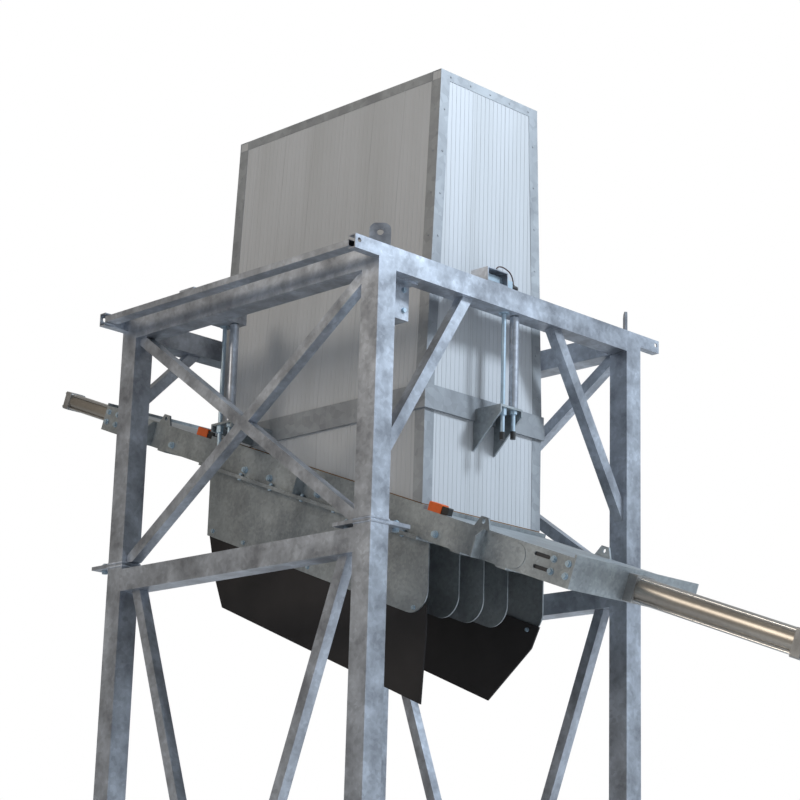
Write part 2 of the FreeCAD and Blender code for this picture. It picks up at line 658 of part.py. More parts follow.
def plate_level():
    return ring_levels()[0] + size("ring_high") / 2


def wall_distance(hanger):
    """From the rod line in to the ring's outer face."""
    return hanger[3] - size("bracket_edge")


def bracket_pads():
    """The places on the ring that the bracket back plates cover."""
    pads = []
    thick, half = size("gusset"), size("bracket_half")
    for hanger in hangers():
        away = wall_distance(hanger)
        shelf = Part.makeBox(2 * half + thick + 0.4, 40, size("bracket_plate") + 0.2,
                             V(-half - thick / 2 - 0.2, away - 20, -size("bracket_plate") - 0.2))
        spots = [Part.makeBox(thick + 0.4, 40, 400, V(x - thick / 2 - 0.2, away - 20, -400))
                 for x in (-half, half)]
        pads += [lifted(one, hanger[0], hanger[1], hanger[2], plate_level())
                 for one in [shelf] + spots]
    return pads


def build_brackets():
    brackets = []
    thick, back, half = size("bracket_plate"), size("gusset"), size("bracket_half")
    edge, high, tip = size("bracket_edge"), size("bracket_high"), 34
    for index, hanger in enumerate(hangers()):
        away = wall_distance(hanger)
        top = Part.makeBox(2 * half + back, edge + away, thick, V(-half - back / 2, -edge, -thick))
        outline = [V(0, away, -thick), V(0, -edge, -thick), V(0, -edge, -tip)]
        if index == 0:
            # the front gussets run on down the wall below the ring
            wall = away + size("ring_proud")
            drop = size("ring_high") / 2
            outline += [V(0, wall, -high), V(0, wall, -drop), V(0, away, -drop)]
        else:
            outline.append(V(0, away, -size("side_bracket_high")))
        webs = [plate([p + V(x - back / 2, 0, 0) for p in outline], V(1, 0, 0), back)
                for x in (-half, half)]
        whole = top.multiFuse(webs).removeSplitter()
        for sx in SIGNS:
            whole = whole.cut(disc(size("rod") + 2 * size("rod_clear"), 60,
                                   V(sx * size("rod_pitch") / 2, 0, -40)))
        whole = lifted(whole, hanger[0], hanger[1], hanger[2], plate_level())
        brackets.append(above_gate(whole, hopper_seat()))
    shape_node("hanger_brackets", Part.makeCompound(brackets))


def build_arms():
    arms = []
    low, top = beam_levels()
    wall = size("stub_wall")
    hole = size("rod") + 2 * size("rod_clear")
    for hanger in hangers()[1:]:
        inner = size("frame_x") / 2 - size("col")
        sign = 1 if hanger[0].x > 0 else -1
        spans = sorted((sign * inner, hanger[0].x - sign * size("arm_past_rod")))
        y0 = hanger[0].y - size("arm_wide") / 2
        bar = block(spans[0], spans[1], y0, y0 + size("arm_wide"), top - size("stub_high"), top)
        bore = block(spans[0], spans[1], y0 + wall, y0 + size("arm_wide") - wall,
                     top - size("stub_high") + wall, top - wall)
        arm = bar.cut(bore)
        for sy in SIGNS:
            arm = arm.cut(disc(hole, 200, V(hanger[0].x, hanger[0].y + sy * size("rod_pitch") / 2,
                                            top - 100)))
        arms.append(arm)
    shape_node("hanger_arms", Part.makeCompound(arms))


def cell_span(index):
    """The load cell's inner and outer ends along its own axis, from the loaded rod."""
    if index == 0:
        reach = size("front_cell_reach")
    else:
        beam = size("frame_x") / 2 - size("col") / 2
        reach = beam + size("cell_past_beam") - abs(hangers()[index][0].x)
    return -reach, size("cell_past_rod")


def cell_place(index):
    """Where a load cell's own frame sits: origin on the loaded rod, x along the cell."""
    top = beam_levels()[1]
    centre, out, along, _ = hangers()[index]
    at = centre - along * (size("rod_pitch") / 2) + V(0, 0, top)
    turn = 180 if out.x > 0 else 0
    return FreeCAD.Placement(at, FreeCAD.Rotation(V(0, 0, 1), turn))


def gland_top():
    return size("cell_base") + size("cell") / 2 + size("gland") / 2


def gland_outlet(outer):
    """Short spout on an elbow gland, where the lead leaves it upwards."""
    middle = size("cell_base") + size("cell") / 2
    return disc(size("collar"), gland_top() + 2 - middle, V(outer + size("gland_outlet"), 0, middle))


def build_cells():
    housings, cells, glands, bolts = [], [], [], []
    wide, base, wall = size("cell"), size("cell_base"), size("housing_wall")
    for index in range(3):
        place = cell_place(index)
        inner, outer = cell_span(index)
        body = block(inner, outer, -wide / 2, wide / 2, base, base + wide)
        body = body.cut(disc(size("rod") + 2, 200, V(0, 0, -50)))
        foot = block(inner, inner + size("cell_grip"), -wide / 2, wide / 2, 0, base)
        spots = [inner + 22, inner + 66]
        for x in spots:
            body = body.cut(disc(size("cell_bolt") + 1, 200, V(x, 0, -50)))
            foot = foot.cut(disc(size("cell_bolt") + 1, 200, V(x, 0, -50)))
            head = base + wide
            shank = disc(size("cell_bolt"), head, V(x, 0, 0))
            cap = hexagon(18, 8, V(x, 0, head))
            bolts.append(moved(shank.fuse(cap).removeSplitter(), place))
        cells += [moved(body, place), moved(foot, place)]
        mid = inner + size("cell_grip") / 2
        hx, hy, hz = size("housing_x") / 2, size("housing_y") / 2, size("housing_high")
        shell = block(mid - hx, mid + hx, -hy, hy, 0, hz)
        shell = shell.cut(block(mid - hx + wall, mid + hx - wall, -hy, hy, wall, hz - wall))
        shell = shell.cut(block(mid - hx - 1, mid + hx + 1, -wide / 2 - 2, wide / 2 + 2,
                                -1, base + wide + 2).common(
            block(inner - 2, mid + hx + 2, -hy, hy, -2, hz)))
        exit_x = mid + size("collar_off")
        shell = shell.cut(disc(size("cable") + 4, 30, V(exit_x, 0, hz - 15)))
        housings.append(moved(shell, place))
        # an elbow on the cell's end, with the lead out of its top
        middle = base + wide / 2
        gland = disc(size("gland"), size("gland_long"), V(outer, 0, middle), V(1, 0, 0))
        glands.append(moved(gland.fuse(gland_outlet(outer)).removeSplitter(), place))
        collar = disc(size("collar"), size("collar_high"), V(exit_x, 0, hz))
        collar = collar.cut(disc(size("cable"), 20, V(exit_x, 0, hz - 5)))
        glands.append(moved(collar, place))
    shape_node("load_cell_housings", Part.makeCompound(housings))
    shape_node("load_cells", Part.makeCompound(cells))
    shape_node("cable_glands", Part.makeCompound(glands))
    return bolts


def moved(shape, placement):
    """A copy of a shape carried from a local frame to the row frame, with no placement left."""
    return shape.transformed(placement.toMatrix(), True)


def route_tube(points, dia):
    """Round tube along straight runs joined by tangent arcs, each as large as its runs allow."""
    edges, radii, start = [], [], points[0]
    for before, here, after in zip(points, points[1:], points[2:]):
        a, b = (before - here), (after - here)
        turn = math.pi - a.getAngle(b)
        reach = 0.45 * min(a.Length, b.Length)
        radii.append(reach / math.tan(turn / 2))
        p, q = here + a.normalize() * reach, here + b.normalize() * reach
        centre_way = (p + q - here * 2).normalize()
        middle = here + centre_way * (radii[-1] / math.cos(turn / 2) - radii[-1])
        edges += [Part.LineSegment(start, p).toShape(), Part.Arc(p, middle, q).toShape()]
        start = q
    edges.append(Part.LineSegment(start, points[-1]).toShape())
    path = Part.Wire(edges)
    first = (points[1] - points[0]).normalize()
    ring = Part.Wire(Part.makeCircle(dia / 2, points[0], first))
    tube = path.makePipeShell([ring], True, False)
    expected = math.pi * dia * dia / 4 * path.Length
    print("cord radii", [round(r, 1) for r in radii], "length", round(path.Length, 1),
          "volume ratio", round(tube.Volume / expected, 4))
    return tube


# The loop of each load cell lead, in the cell's own frame: up out of the collar on the housing,
# over, and down into the elbow gland on the cell's end.
def lead_points(index):
    inner, outer = cell_span(index)
    x0 = inner + size("cell_grip") / 2 + size("collar_off")
    x1 = outer + size("gland_outlet")
    z0, z1 = size("housing_high") + size("collar_high"), gland_top() + 2
    first = [V(x0, 0, z0), V(x0 + 3, 0, z0 + 18), V(x0 + 17, -3, z0 + 29), V(x0 + 42, -5, z0 + 31)]
    middle = [] if index == 0 else [V((x0 + x1) / 2 + 5, -6, z0 + 29)]
    last = [V(x1 - 32, -5, z0 + 21), V(x1 - 12, -3, z0 + 4), V(x1 - 2, -1, z1 + 18), V(x1, 0, z1)]
    return first + middle + last


def build_leads():
    leads = [moved(route_tube(lead_points(index), size("cable")), cell_place(index))
             for index in range(3)]
    shape_node("load_cell_leads", Part.makeCompound(leads))


def rod_heights(index):
    """Bottom and top of the loaded rod and of the safety rod of one hanger."""
    top = beam_levels()[1]
    seat = top + size("cell_base") + size("cell")
    low = plate_level() - size("rod_tail")
    return (low, seat + size("nut_high") + 8), (low + 16, top + 14)


def build_rods():
    rods, sleeves, nuts, caps = [], [], [], []
    dia, flats, high = size("rod"), size("nut_flats"), size("nut_high")
    thick = size("bracket_plate")
    beam_low, beam_top = beam_levels()
    for index, (centre, out, along, _) in enumerate(hangers()):
        loaded, safety = rod_heights(index)
        half = size("rod_pitch") / 2
        soffit = beam_low if index == 0 else beam_top - size("stub_high")
        for sign, (low, top) in ((-1, loaded), (1, safety)):
            at = centre + along * (sign * half)
            rods.append(disc(dia, top - low, V(at.x, at.y, low)))
            under = plate_level() - thick
            caps.append(cap_shape(V(at.x, at.y, low)))
            hexes = [under - high, under - 2 * high] if sign < 0 else [under - high]
            hexes = [(z, high) for z in hexes]
            if sign < 0:
                hexes += [(beam_top + size("cell_base") + size("cell"), high)]
            else:
                hexes += [(beam_top, 12)]
            for z, tall in hexes:
                nut = hexagon(flats, tall, V(at.x, at.y, z))
                nuts.append(nut.cut(disc(dia, tall + 2, V(at.x, at.y, z - 1))))
            if sign < 0:
                # a thin ring on the beam's underside, with the rod clear of it
                ring = disc(48, 3, V(at.x, at.y, soffit - 3))
                hole = disc(dia + 2 * size("rod_clear"), 5, V(at.x, at.y, soffit - 4))
                nuts.append(ring.cut(hole))
            else:
                length = soffit - size("sleeve_gap") - plate_level()
                outer, inner = size("sleeve"), size("sleeve") - 2 * size("sleeve_wall")
                tube = disc(outer, length, V(at.x, at.y, plate_level()))
                sleeves.append(tube.cut(disc(inner, length, V(at.x, at.y, plate_level()))))
    shape_node("hanger_rods", Part.makeCompound(rods))
    shape_node("sleeve_pipes", Part.makeCompound(sleeves))
    shape_node("hanger_nuts", Part.makeCompound(nuts))
    shape_node("rod_end_caps", Part.makeCompound(caps))


def cap_shape(at):
    """Push-on cap whose blind bore takes the rod's end."""
    long, wall, dia = size("cap_long"), size("cap_wall"), size("rod")
    body = disc(dia + 2 * wall, long, at - V(0, 0, wall))
    return body.cut(disc(dia, long, at))


# ---------------------------------------------------------------- gate, in its own frame
def in_gate(label, *shapes):
    shape_node(label, Part.makeCompound([moved(one, gate_frame()) for one in shapes]))


def gate_half():
    return size("gate_wide") / 2


def wall_lines():
    """Where the hopper's front and back inner faces meet the gate's plane, along the slope."""
    lift = math.tan(math.radians(size("slope"))) * (size("channel") + size("base_bar"))
    run = math.cos(math.radians(size("slope")))
    half = size("hopper_y") / 2
    return -half / run + lift, half / run + lift


def guide_spots():
    """Bolt places of the blade guides, along the slope."""
    return [-815, -231, -36, 312, 497, 1084]


def build_channels():
    shapes = []
    web, thick, leg, high = (size("channel_web"), size("channel_thick"), size("channel_leg"),
                             size("channel"))
    low, up = -size("gate_lower") + size("end_plate"), size("gate_upper") - size("end_plate")
    hole = size("guide_bolt") + 2 * size("bolt_clear")
    for sx in SIGNS:
        outer = sx * gate_half()
        spans = sorted((outer, outer - sx * leg))
        bar = block(spans[0], spans[1], low, up, 0, high)
        inner = sorted((outer - sx * web, outer - sx * (leg + 1)))
        bar = bar.cut(block(inner[0], inner[1], low, up, thick, high - thick))
        for y in guide_spots():
            bar = bar.cut(disc(hole, 60, V(outer - 30, y, size("guide_level")), V(1, 0, 0)))
        for y, z in slot_spots():
            bar = bar.cut(slot_shape(outer - 30, y, z))
        for y, z in end_bolts():
            bar = bar.cut(disc(size("stay_bolt") + 1, 60, V(outer - 30, y, z), V(1, 0, 0)))
        shapes.append(bar)
    in_gate("gate_channels", *shapes)


def slot_spots():
    """Adjusting slots near both ends of the channel webs."""
    spots = []
    for y in (-size("gate_lower") + size("slot_inset"), size("gate_upper") - size("slot_inset")):
        spots += [(y + 5, 95), (y - 5, 45)]
    return spots


def slot_shape(x, y, z):
    long, high = size("slot_long"), size("slot_high")
    flat = Part.makeBox(60, long - high, high, V(x, y - (long - high) / 2, z - high / 2))
    ends = [disc(high, 60, V(x, y + s * (long - high) / 2, z), V(1, 0, 0)) for s in SIGNS]
    return flat.multiFuse(ends)


def end_bolts():
    """Bolts through the webs just outside the slots, which hold the end plates' side lugs."""
    spots = []
    for y, sign in ((-size("gate_lower"), 1), (size("gate_upper"), -1)):
        for inset in (size("slot_inset") - size("slot_long") / 2 - 16, 30):
            spots += [(y + sign * inset, 95), (y + sign * inset, 45)]
    return spots


def bolt_row():
    """Flange bolts of the hopper base and the chute, along the slope."""
    lines = wall_lines()
    count, inset = 7, 40
    step = (lines[1] - lines[0] - 2 * inset) / (count - 1)
    return [lines[0] + inset + step * k for k in range(count)]


def build_gate_frame():
    half, high = gate_half(), size("channel")
    lines = wall_lines()
    bar, seal = size("base_bar"), size("seal_thick")
    # base frame of the hopper, on the channels
    frame = []
    inner_x = size("hopper_x") / 2 - size("panel")
    for sx in SIGNS:
        spans = sorted((sx * half, sx * inner_x))
        one = block(spans[0], spans[1], lines[0] - 30, lines[1] + 30, high, high + bar)
        frame.append(one)
    depth = size("panel") / math.cos(math.radians(size("slope")))
    for low, up in ((lines[0] - 30, lines[0] + depth), (lines[1] - depth, lines[1] + 30)):
        frame.append(block(-inner_x, inner_x, low, up, high, high + bar))
    in_gate("hopper_base_frame", *frame)
    # brown sealing tape under the panels
    strips = []
    edge = size("hopper_x") / 2
    for sx in SIGNS:
        spans = sorted((sx * edge, sx * inner_x))
        strips.append(block(spans[0], spans[1], lines[0] + depth, lines[1] - depth,
                            high + bar, high + bar + seal))
    for low, up in ((lines[0], lines[0] + depth), (lines[1] - depth, lines[1])):
        strips.append(block(-edge, edge, low, up, high + bar, high + bar + seal))
    in_gate("seal_strip", *strips)
    # rubber wiper round the opening, just above the blades
    level = size("blade_level") + size("blade") + size("blade_gap")
    wiper = size("wiper")
    reach_low, reach_up = lines[0] + depth - wiper, lines[1] - depth + wiper
    bars = [block(-inner_x, inner_x, reach_low, reach_low + wiper, level, high),
            block(-inner_x, inner_x, reach_up - wiper, reach_up, level, high)]
    for sx in SIGNS:
        spans = sorted((sx * inner_x, sx * (inner_x - wiper)))
        bars.append(block(spans[0], spans[1], reach_low + wiper, reach_up - wiper, level, high))
    in_gate("blade_wiper", *bars)
    # covers over the blades outside the hopper
    covers = [block(-half, half, -size("gate_lower") + size("end_plate"), lines[0] - 30, high,
                    high + size("cover")),
              block(-half, half, lines[1] + 30, size("gate_upper") - size("end_plate"), high,
                    high + size("cover"))]
    in_gate("gate_covers", *[sensor_holes(one) for one in covers])


def sensor_holes(cover):
    """A window under each position sensor."""
    for y, _ in sensor_spots():
        cover = cover.cut(disc(30, 20, V(-gate_half() + 62, y, size("channel") - 5)))
    return cover


def build_end_plates():
    half, high, thick = gate_half(), size("channel") + size("end_rise"), size("end_plate")
    axis = blade_axis()
    shapes = []
    for y in (-size("gate_lower"), size("gate_upper") - thick):
        one = block(-half, half, y, y + thick, 0, high)
        one = one.cut(disc(size("rod_dia") + 6, thick + 2, V(0, y - 1, axis), V(0, 1, 0)))
        shapes.append(one)
    in_gate("gate_end_plates", *shapes)


def blade_axis():
    """Height of the cylinders' axis above the gate's underside: the blade's middle."""
    return size("blade_level") + size("blade") / 2


def build_guides():
    """Plastic strips under and over the blade edges, held through the webs."""
    web, thick, high = size("channel_web"), size("channel_thick"), size("channel")
    level, blade, gap = size("blade_level"), size("blade"), size("blade_gap")
    low, up = -size("gate_lower") + size("end_plate"), size("gate_upper") - size("end_plate")
    strips, bolts = [], []
    dia = size("guide_bolt")
    for sx in SIGNS:
        outer = sx * (gate_half() - web)
        spans = sorted((outer, outer - sx * size("strip")))
        under = block(spans[0], spans[1], low, up, thick, level - gap)
        over = block(spans[0], spans[1], low, up, level + blade + gap, high - thick)
        reach = 24
        for y in guide_spots():
            start = sx * (gate_half() - web)
            under = under.cut(disc(dia, reach, V(start, y, size("guide_level")), V(-sx, 0, 0)))
            way = V(sx, 0, 0)
            shank = disc(dia, reach + web + 20, V(start - sx * reach, y, size("guide_level")), way)
            washer = disc(32, 3, V(sx * gate_half(), y, size("guide_level")), way)
            nut = hexagon(24, 13, V(sx * (gate_half() + 3), y, size("guide_level")), way)
            bolts.append(shank.multiFuse([washer, nut]).removeSplitter())
        strips += [under, over]
    in_gate("guide_strips", *strips)
    in_gate("guide_bolts", *bolts)


def build_gate_details():
    half, high = gate_half(), size("channel")
    ribs = []
    thick, out = size("rib"), size("rib_out")
    lines, lip, deep = wall_lines(), size("lip"), size("chute_frame")
    reach = (lines[0] - 60, lines[1] + 40)
    for sx in SIGNS:
        spans = sorted((sx * half, sx * (half + lip)))
        bar = block(spans[0], spans[1], reach[0], reach[1], 0, deep)
        for y in bolt_row():
            bar = bar.cut(disc(size("skirt_bolt") + 1, deep + 2, V(sx * (half + lip / 2), y, -1)))
        ribs.append(bar)
        # doubler plate with a round end, between the low rib and the slots
        spans = sorted((sx * half, sx * (half + 3)))
        doubler = block(spans[0], spans[1], -1286, -1095, 8, 112)
        ribs.append(doubler.fuse(disc(104, 3, V(spans[0], -1286, 60), V(1, 0, 0))).removeSplitter())
    for y in (-1095, 76, 1255):
        foot = deep if reach[0] < y < reach[1] else 0
        for sx in SIGNS:
            spans = sorted((sx * half, sx * (half + out)))
            slab = block(spans[0], spans[1], y, y + thick, foot, high)
            notch = [V(sx * (half + out), y - 1, high + 1), V(sx * (half + out), y - 1, high - 34),
                     V(sx * (half + out - 34), y - 1, high + 1)]
            ribs.append(slab.cut(plate(notch, V(0, 1, 0), thick + 2)))
    flat = size("tie_flat")
    for y in (-1250, -980, 1130, 1400):
        ribs.append(block(-half, half, y, y + flat, -size("chute_frame"), 0))
    in_gate("gate_ribs", *ribs)
    eyes = []
    wide, top, tall, thick = (size("eye_base"), size("eye_top"), size("eye_high"),
                              size("eye_thick"))
    floor = high + size("cover")
    for y in (-1062, 1190):
        for sx in SIGNS:
            spot = sx * half - (thick if sx > 0 else 0)
            outline = [V(spot, y - wide / 2, floor), V(spot, y + wide / 2, floor),
                       V(spot, y + top / 2, floor + tall), V(spot, y - top / 2, floor + tall)]
            eye = plate(outline, V(1, 0, 0), thick)
            eyes.append(eye.cut(disc(size("eye_hole"), thick + 2,
                                     V(spot - 1, y, floor + tall * 0.58), V(1, 0, 0))))
    in_gate("gate_eyes", *eyes)


def build_gate_bolts():
    bolts = []
    half, web = gate_half(), size("channel_web")
    small = size("skirt_bolt")
    for sx in SIGNS:
        for y in bolt_row():
            spot = V(sx * (half + size("lip") / 2), y, -size("chute_frame"))
            bolts.append(bolt(small, 2 * size("chute_frame"), spot))
        for y, z in end_bolts():
            start = V(sx * half, y, z)
            way = V(sx, 0, 0)
            shank = disc(size("stay_bolt"), web, start - way * web, way)
            head = [disc(30, 3, start, way), hexagon(19, 9, start + way * 3, way)]
            bolts.append(shank.multiFuse(head).removeSplitter())
    in_gate("gate_bolts", *bolts)


def sensor_spots():
    """Position sensors on the near channel, just outside the hopper's front and back walls."""
    lines = wall_lines()
    return [(lines[0] - 92, 1), (lines[1] + 112, -1)]


def build_sensors():
    wide, body, plug = size("sensor"), size("sensor_body"), size("sensor_plug")
    floor = size("channel") + size("cover")
    heads, plugs = [], []
    x = -gate_half() + 2
    for y, _ in sensor_spots():
        head = block(x, x + wide, y - body / 2, y + body / 2, floor, floor + wide)
        head = rounded(head, 4, lambda e: abs(e.CenterOfMass.z - floor - wide) < 1e-6)
        heads.append(head)
        end = block(x + 4, x + wide - 4, y - body / 2 - plug, y - body / 2, floor + 2,
                    floor + wide - 6)
        plugs.append(rounded(end, 5, lambda e: abs(e.CenterOfMass.y - (y - body / 2 - plug)) < 1e-6))
    in_gate("position_sensors", *heads)
    in_gate("sensor_plugs", *plugs)


# ---------------------------------------------------------------- cylinders and blades
def cylinder_start(side):
    """Where a cylinder's front head seats on its end plate, along the slope."""
    return -size("gate_lower") if side < 0 else size("gate_upper")


def cylinder_sizes(side):
    """Bore, head width and tie-rod pitch: the low cylinder is the larger."""
    bore = size("lower_bore") if side < 0 else size("bore")
    return bore, bore + size("head_over"), bore * size("tie_share")


def barrel_long():
    return size("stroke") + size("piston") + 2 * size("cushion")


def build_cylinders():
    heads, barrels, ties = [], [], []
    axis, deep = blade_axis(), size("head_thick")
    for side in SIGNS:
        inner, wide, pitch = cylinder_sizes(side)
        way = V(0, side, 0)
        start = V(0, cylinder_start(side), axis)
        for offset, bore in ((0, size("rod_dia") + 2 * size("run_clear")), (deep + barrel_long(), 0)):
            y = start.y + side * offset
            spans = sorted((y, y + side * deep))
            head = block(-wide / 2, wide / 2, spans[0], spans[1], axis - wide / 2, axis + wide / 2)
            head = rounded(head, 6, lambda e: abs(abs(e.CenterOfMass.x) - wide / 2) < 1e-6
                           and abs(abs(e.CenterOfMass.z - axis) - wide / 2) < 1e-6)
            if bore:
                head = head.cut(disc(bore, deep, V(0, y, axis), way))
            port = V(0, y + side * deep / 2, axis + wide / 2)
            head = head.cut(disc(16, 14, port - V(0, 0, 14)))
            for tx, tz in corners():
                spot = V(tx * pitch / 2, y, axis + tz * pitch / 2)
                head = head.cut(disc(size("tie_rod"), deep, spot, way))
            heads.append(head)
        tube = disc(inner + 2 * size("barrel_wall"), barrel_long(),
                    start + way * deep, way)
        barrels.append(tube.cut(disc(inner, barrel_long(), start + way * deep, way)))
        length = 2 * deep + barrel_long() + 16
        for tx, tz in corners():
            spot = V(tx * pitch / 2, start.y, axis + tz * pitch / 2)
            bar = disc(size("tie_rod"), length, spot, way)
            nut = hexagon(17, 9, spot + way * (2 * deep + barrel_long()), way)
            ties.append(bar.fuse(nut).removeSplitter())
    in_gate("cylinder_heads", *heads)
    in_gate("cylinder_barrels", *barrels)
    in_gate("tie_rods", *ties)


def build_blade(side, name):
    """Blade, rod with piston, and fork with pin of one half of the gate, shown closed."""
    axis = blade_axis()
    half = gate_half() - size("channel_web") - size("blade_side")
    long, low, thick = size("blade_long"), size("blade_level"), size("blade")
    parting = sum(wall_lines()) / 2
    spans = sorted((parting + side * size("run_clear") * 2, parting + side * long))
    blade = block(-half, half, spans[0], spans[1], low, low + thick)
    edge = parting + side * long
    pin_y = edge - side * 30
    blade = blade.cut(disc(size("pin"), thick, V(0, pin_y, low)))
    in_gate("%s_blade" % name, blade)
    # fork round the blade's outer edge
    wide, jaw, eye = size("clevis_wide"), size("clevis_jaw"), size("clevis_eye")
    reach = sorted((pin_y - side * eye, edge + side * 40))
    fork = block(-wide / 2, wide / 2, reach[0], reach[1], low - jaw, low + thick + jaw)
    gap = sorted((pin_y - side * (eye + 1), edge + side * 4))
    fork = fork.cut(block(-wide / 2, wide / 2, gap[0], gap[1], low, low + thick))
    fork = fork.cut(disc(size("pin"), 80, V(0, pin_y, low - 40)))
    pin = disc(size("pin"), thick + 2 * jaw + 6, V(0, pin_y, low - jaw - 3))
    in_gate("%s_fork" % name, fork, pin)
    # rod from the fork's back to the piston, which stands at the front head when closed
    rod_low = edge + side * 40
    seat = cylinder_start(side) + side * (size("head_thick") + size("cushion"))
    bar = disc(size("rod_dia"), abs(seat - rod_low), V(0, rod_low, axis), V(0, side, 0))
    piston = disc(cylinder_sizes(side)[0] - 2 * size("run_clear"), size("piston"), V(0, seat, axis),
                  V(0, side, 0))
    in_gate("%s_piston_rod" % name, bar, piston)


# ---------------------------------------------------------------- chute
def chute_outline(front, back, drop, radius):
    """Side view of a chute plate: upright ends, top and bottom along the slope."""
    rise = math.tan(math.radians(size("slope")))
    shift = size("hopper_shift")
    level = size("lower_height") + size("flange_thick") + size("gate_rise")
    sink = size("chute_frame") / math.cos(math.radians(size("slope")))

    def line(y, below):
        return V(0, y, level + rise * (y - shift) - below)
    y0, y1 = shift - front, shift + back
    return [line(y0, sink), line(y1, sink), line(y1, drop), line(y0, drop)]


def chute_plate(x, thick, front, back, drop, radius):
    outline = chute_outline(front, back, drop, radius)
    slab = plate([p + V(x, 0, 0) for p in outline], V(1, 0, 0), thick)
    low = outline[3]
    return rounded(slab, radius, lambda e: abs(e.CenterOfMass.y - low.y) < 1e-6
                   and abs(e.CenterOfMass.z - low.z) < 1e-6)


def build_chute():
    half, thick = size("cheek_x") / 2, size("cheek")
    front, back, drop = size("chute_front"), size("chute_back"), size("chute_drop")
    radius = size("corner")
    cheeks = [chute_plate(-half, thick, front, back, drop, radius),
              chute_plate(half - thick, thick, front, back, drop, radius)]
    spots = skirt_bolt_spots()
    for y, z in spots:
        drill = disc(size("skirt_bolt") + 1, 3 * half, V(-1.5 * half, y, z), V(1, 0, 0))
        cheeks = [one.cut(drill) for one in cheeks]
    fins = []
    back_wall = size("cheek")
    for k in (-1, 0, 1):
        fins.append(chute_plate(k * size("fin_pitch") - thick / 2, thick,
                                front - size("fin_setback"), back - back_wall, drop, radius))
    shape_node("chute_fins", Part.makeCompound(fins))
    outline = chute_outline(-(back - back_wall), back, drop, radius)
    wall = plate([p + V(-half + thick, 0, 0) for p in outline], V(1, 0, 0), 2 * (half - thick))
    shape_node("chute_walls", Part.makeCompound(cheeks + [wall]))
    # flange frame between the channels and the chute plates
    lines = wall_lines()
    hx, leg, deep = gate_half(), size("channel_leg"), size("chute_frame")
    bars = []
    lo, up = lines[0] - 60, lines[1] + 40
    for sx in SIGNS:
        spans = sorted((sx * (hx + size("lip")), sx * (hx - leg)))
        bar = block(spans[0], spans[1], lo, up, -deep, 0)
        for y in bolt_row():
            x = sx * (hx + size("lip") / 2)
            bar = bar.cut(disc(size("skirt_bolt") + 1, deep + 2, V(x, y, -deep - 1)))
        bars.append(bar)
    for low, high in ((lo, lo + 50), (up - 50, up)):
        bars.append(block(-(hx - leg), hx - leg, low, high, -deep, 0))
    in_gate("chute_frame", *bars)


def skirt_line(y, below):
    rise = math.tan(math.radians(size("slope")))
    level = size("lower_height") + size("flange_thick") + size("gate_rise")
    return level + rise * (y - size("hopper_shift")) - below


def skirt_bolt_spots():
    """Bolts that hold the skirts, along the cheeks' lower edge."""
    count = 7
    y0 = size("hopper_shift") - size("chute_front") + 80
    y1 = size("hopper_shift") + size("chute_back") - 40
    below = size("chute_drop") - size("skirt_lap") / 2
    return [(y0 + (y1 - y0) * k / (count - 1), skirt_line(y0 + (y1 - y0) * k / (count - 1), below))
            for k in range(count)]


def build_skirts():
    """Rubber skirts hung inside the cheeks; the right one has its front corner cut away."""
    half, thick, lap = size("cheek_x") / 2 - size("cheek"), size("skirt"), size("skirt_lap")
    drop, more, draw = size("chute_drop"), size("skirt_drop"), size("skirt_draw")
    y0 = size("hopper_shift") - size("chute_front") + 12
    y1 = size("hopper_shift") + size("chute_back") - size("cheek")
    top = drop - lap
    left = [V(0, y0, skirt_line(y0, top)), V(0, y1, skirt_line(y1, top)),
            V(0, y1 - 4, skirt_line(y1, drop)), V(0, y1 - draw / 2, skirt_line(y1, drop) - more * 0.6),
            V(0, y1 - draw, skirt_line(y1, drop + more)), V(0, y0 + 22, skirt_line(y0, drop + more)),
            V(0, y0, skirt_line(y0, drop + 60))]
    cutback = size("far_skirt_cut")
    right = left[:5] + [V(0, y0 + cutback, skirt_line(y0 + cutback, drop + more)),
                        V(0, y0 + 46, skirt_line(y0, drop + 30))]
    sheets = [plate([p + V(-half, 0, 0) for p in left], V(1, 0, 0), thick),
              plate([p + V(half - thick, 0, 0) for p in right], V(1, 0, 0), thick)]
    bolts = []
    grip = size("skirt") + size("cheek")
    dia = size("skirt_bolt")
    for y, z in skirt_bolt_spots():
        sheets = [one.cut(disc(dia + 1, 4 * half, V(-2 * half, y, z), V(1, 0, 0)))
                  for one in sheets]
        outer = size("cheek_x") / 2
        bolts += [bolt(dia, grip, V(-outer, y, z), V(1, 0, 0)),
                  bolt(dia, grip, V(outer, y, z), V(-1, 0, 0))]
    shape_node("rubber_skirts", Part.makeCompound(sheets))
    shape_node("skirt_bolts", Part.makeCompound(bolts))


# ---------------------------------------------------------------- build and export
build_base()
build_columns()
build_flanges()
build_beams()
build_braces()
build_stubs()
build_lugs()
build_stay()
build_frame_bolts()
build_ring()
build_panels()
build_trims()
build_brackets()
build_arms()
build_leads()
build_rods()
build_channels()
build_gate_frame()
build_end_plates()
build_guides()
build_gate_details()
build_gate_bolts()
build_sensors()
build_cylinders()
build_blade(-1, "lower")
build_blade(1, "upper")
build_chute()
build_skirts()
doc.recompute()

for obj in doc.Objects:
    if "Invalid" in obj.State or "Error" in obj.State:
        raise RuntimeError("%s failed: %s" % (obj.Label, obj.State))
for label, obj in nodes.items():
    if obj.Shape.isNull() or not obj.Shape.isValid() or not obj.Shape.Solids:
        raise RuntimeError("%s has no valid shape" % label)

reach = Part.makeCompound([obj.Shape for obj in nodes.values()]).BoundBox
middle = (reach.YMin + reach.YMax) / 2
for obj in nodes.values():
    obj.Placement = FreeCAD.Placement(V(0, -middle, 0), FreeCAD.Rotation()).multiply(obj.Placement)
doc.recompute()

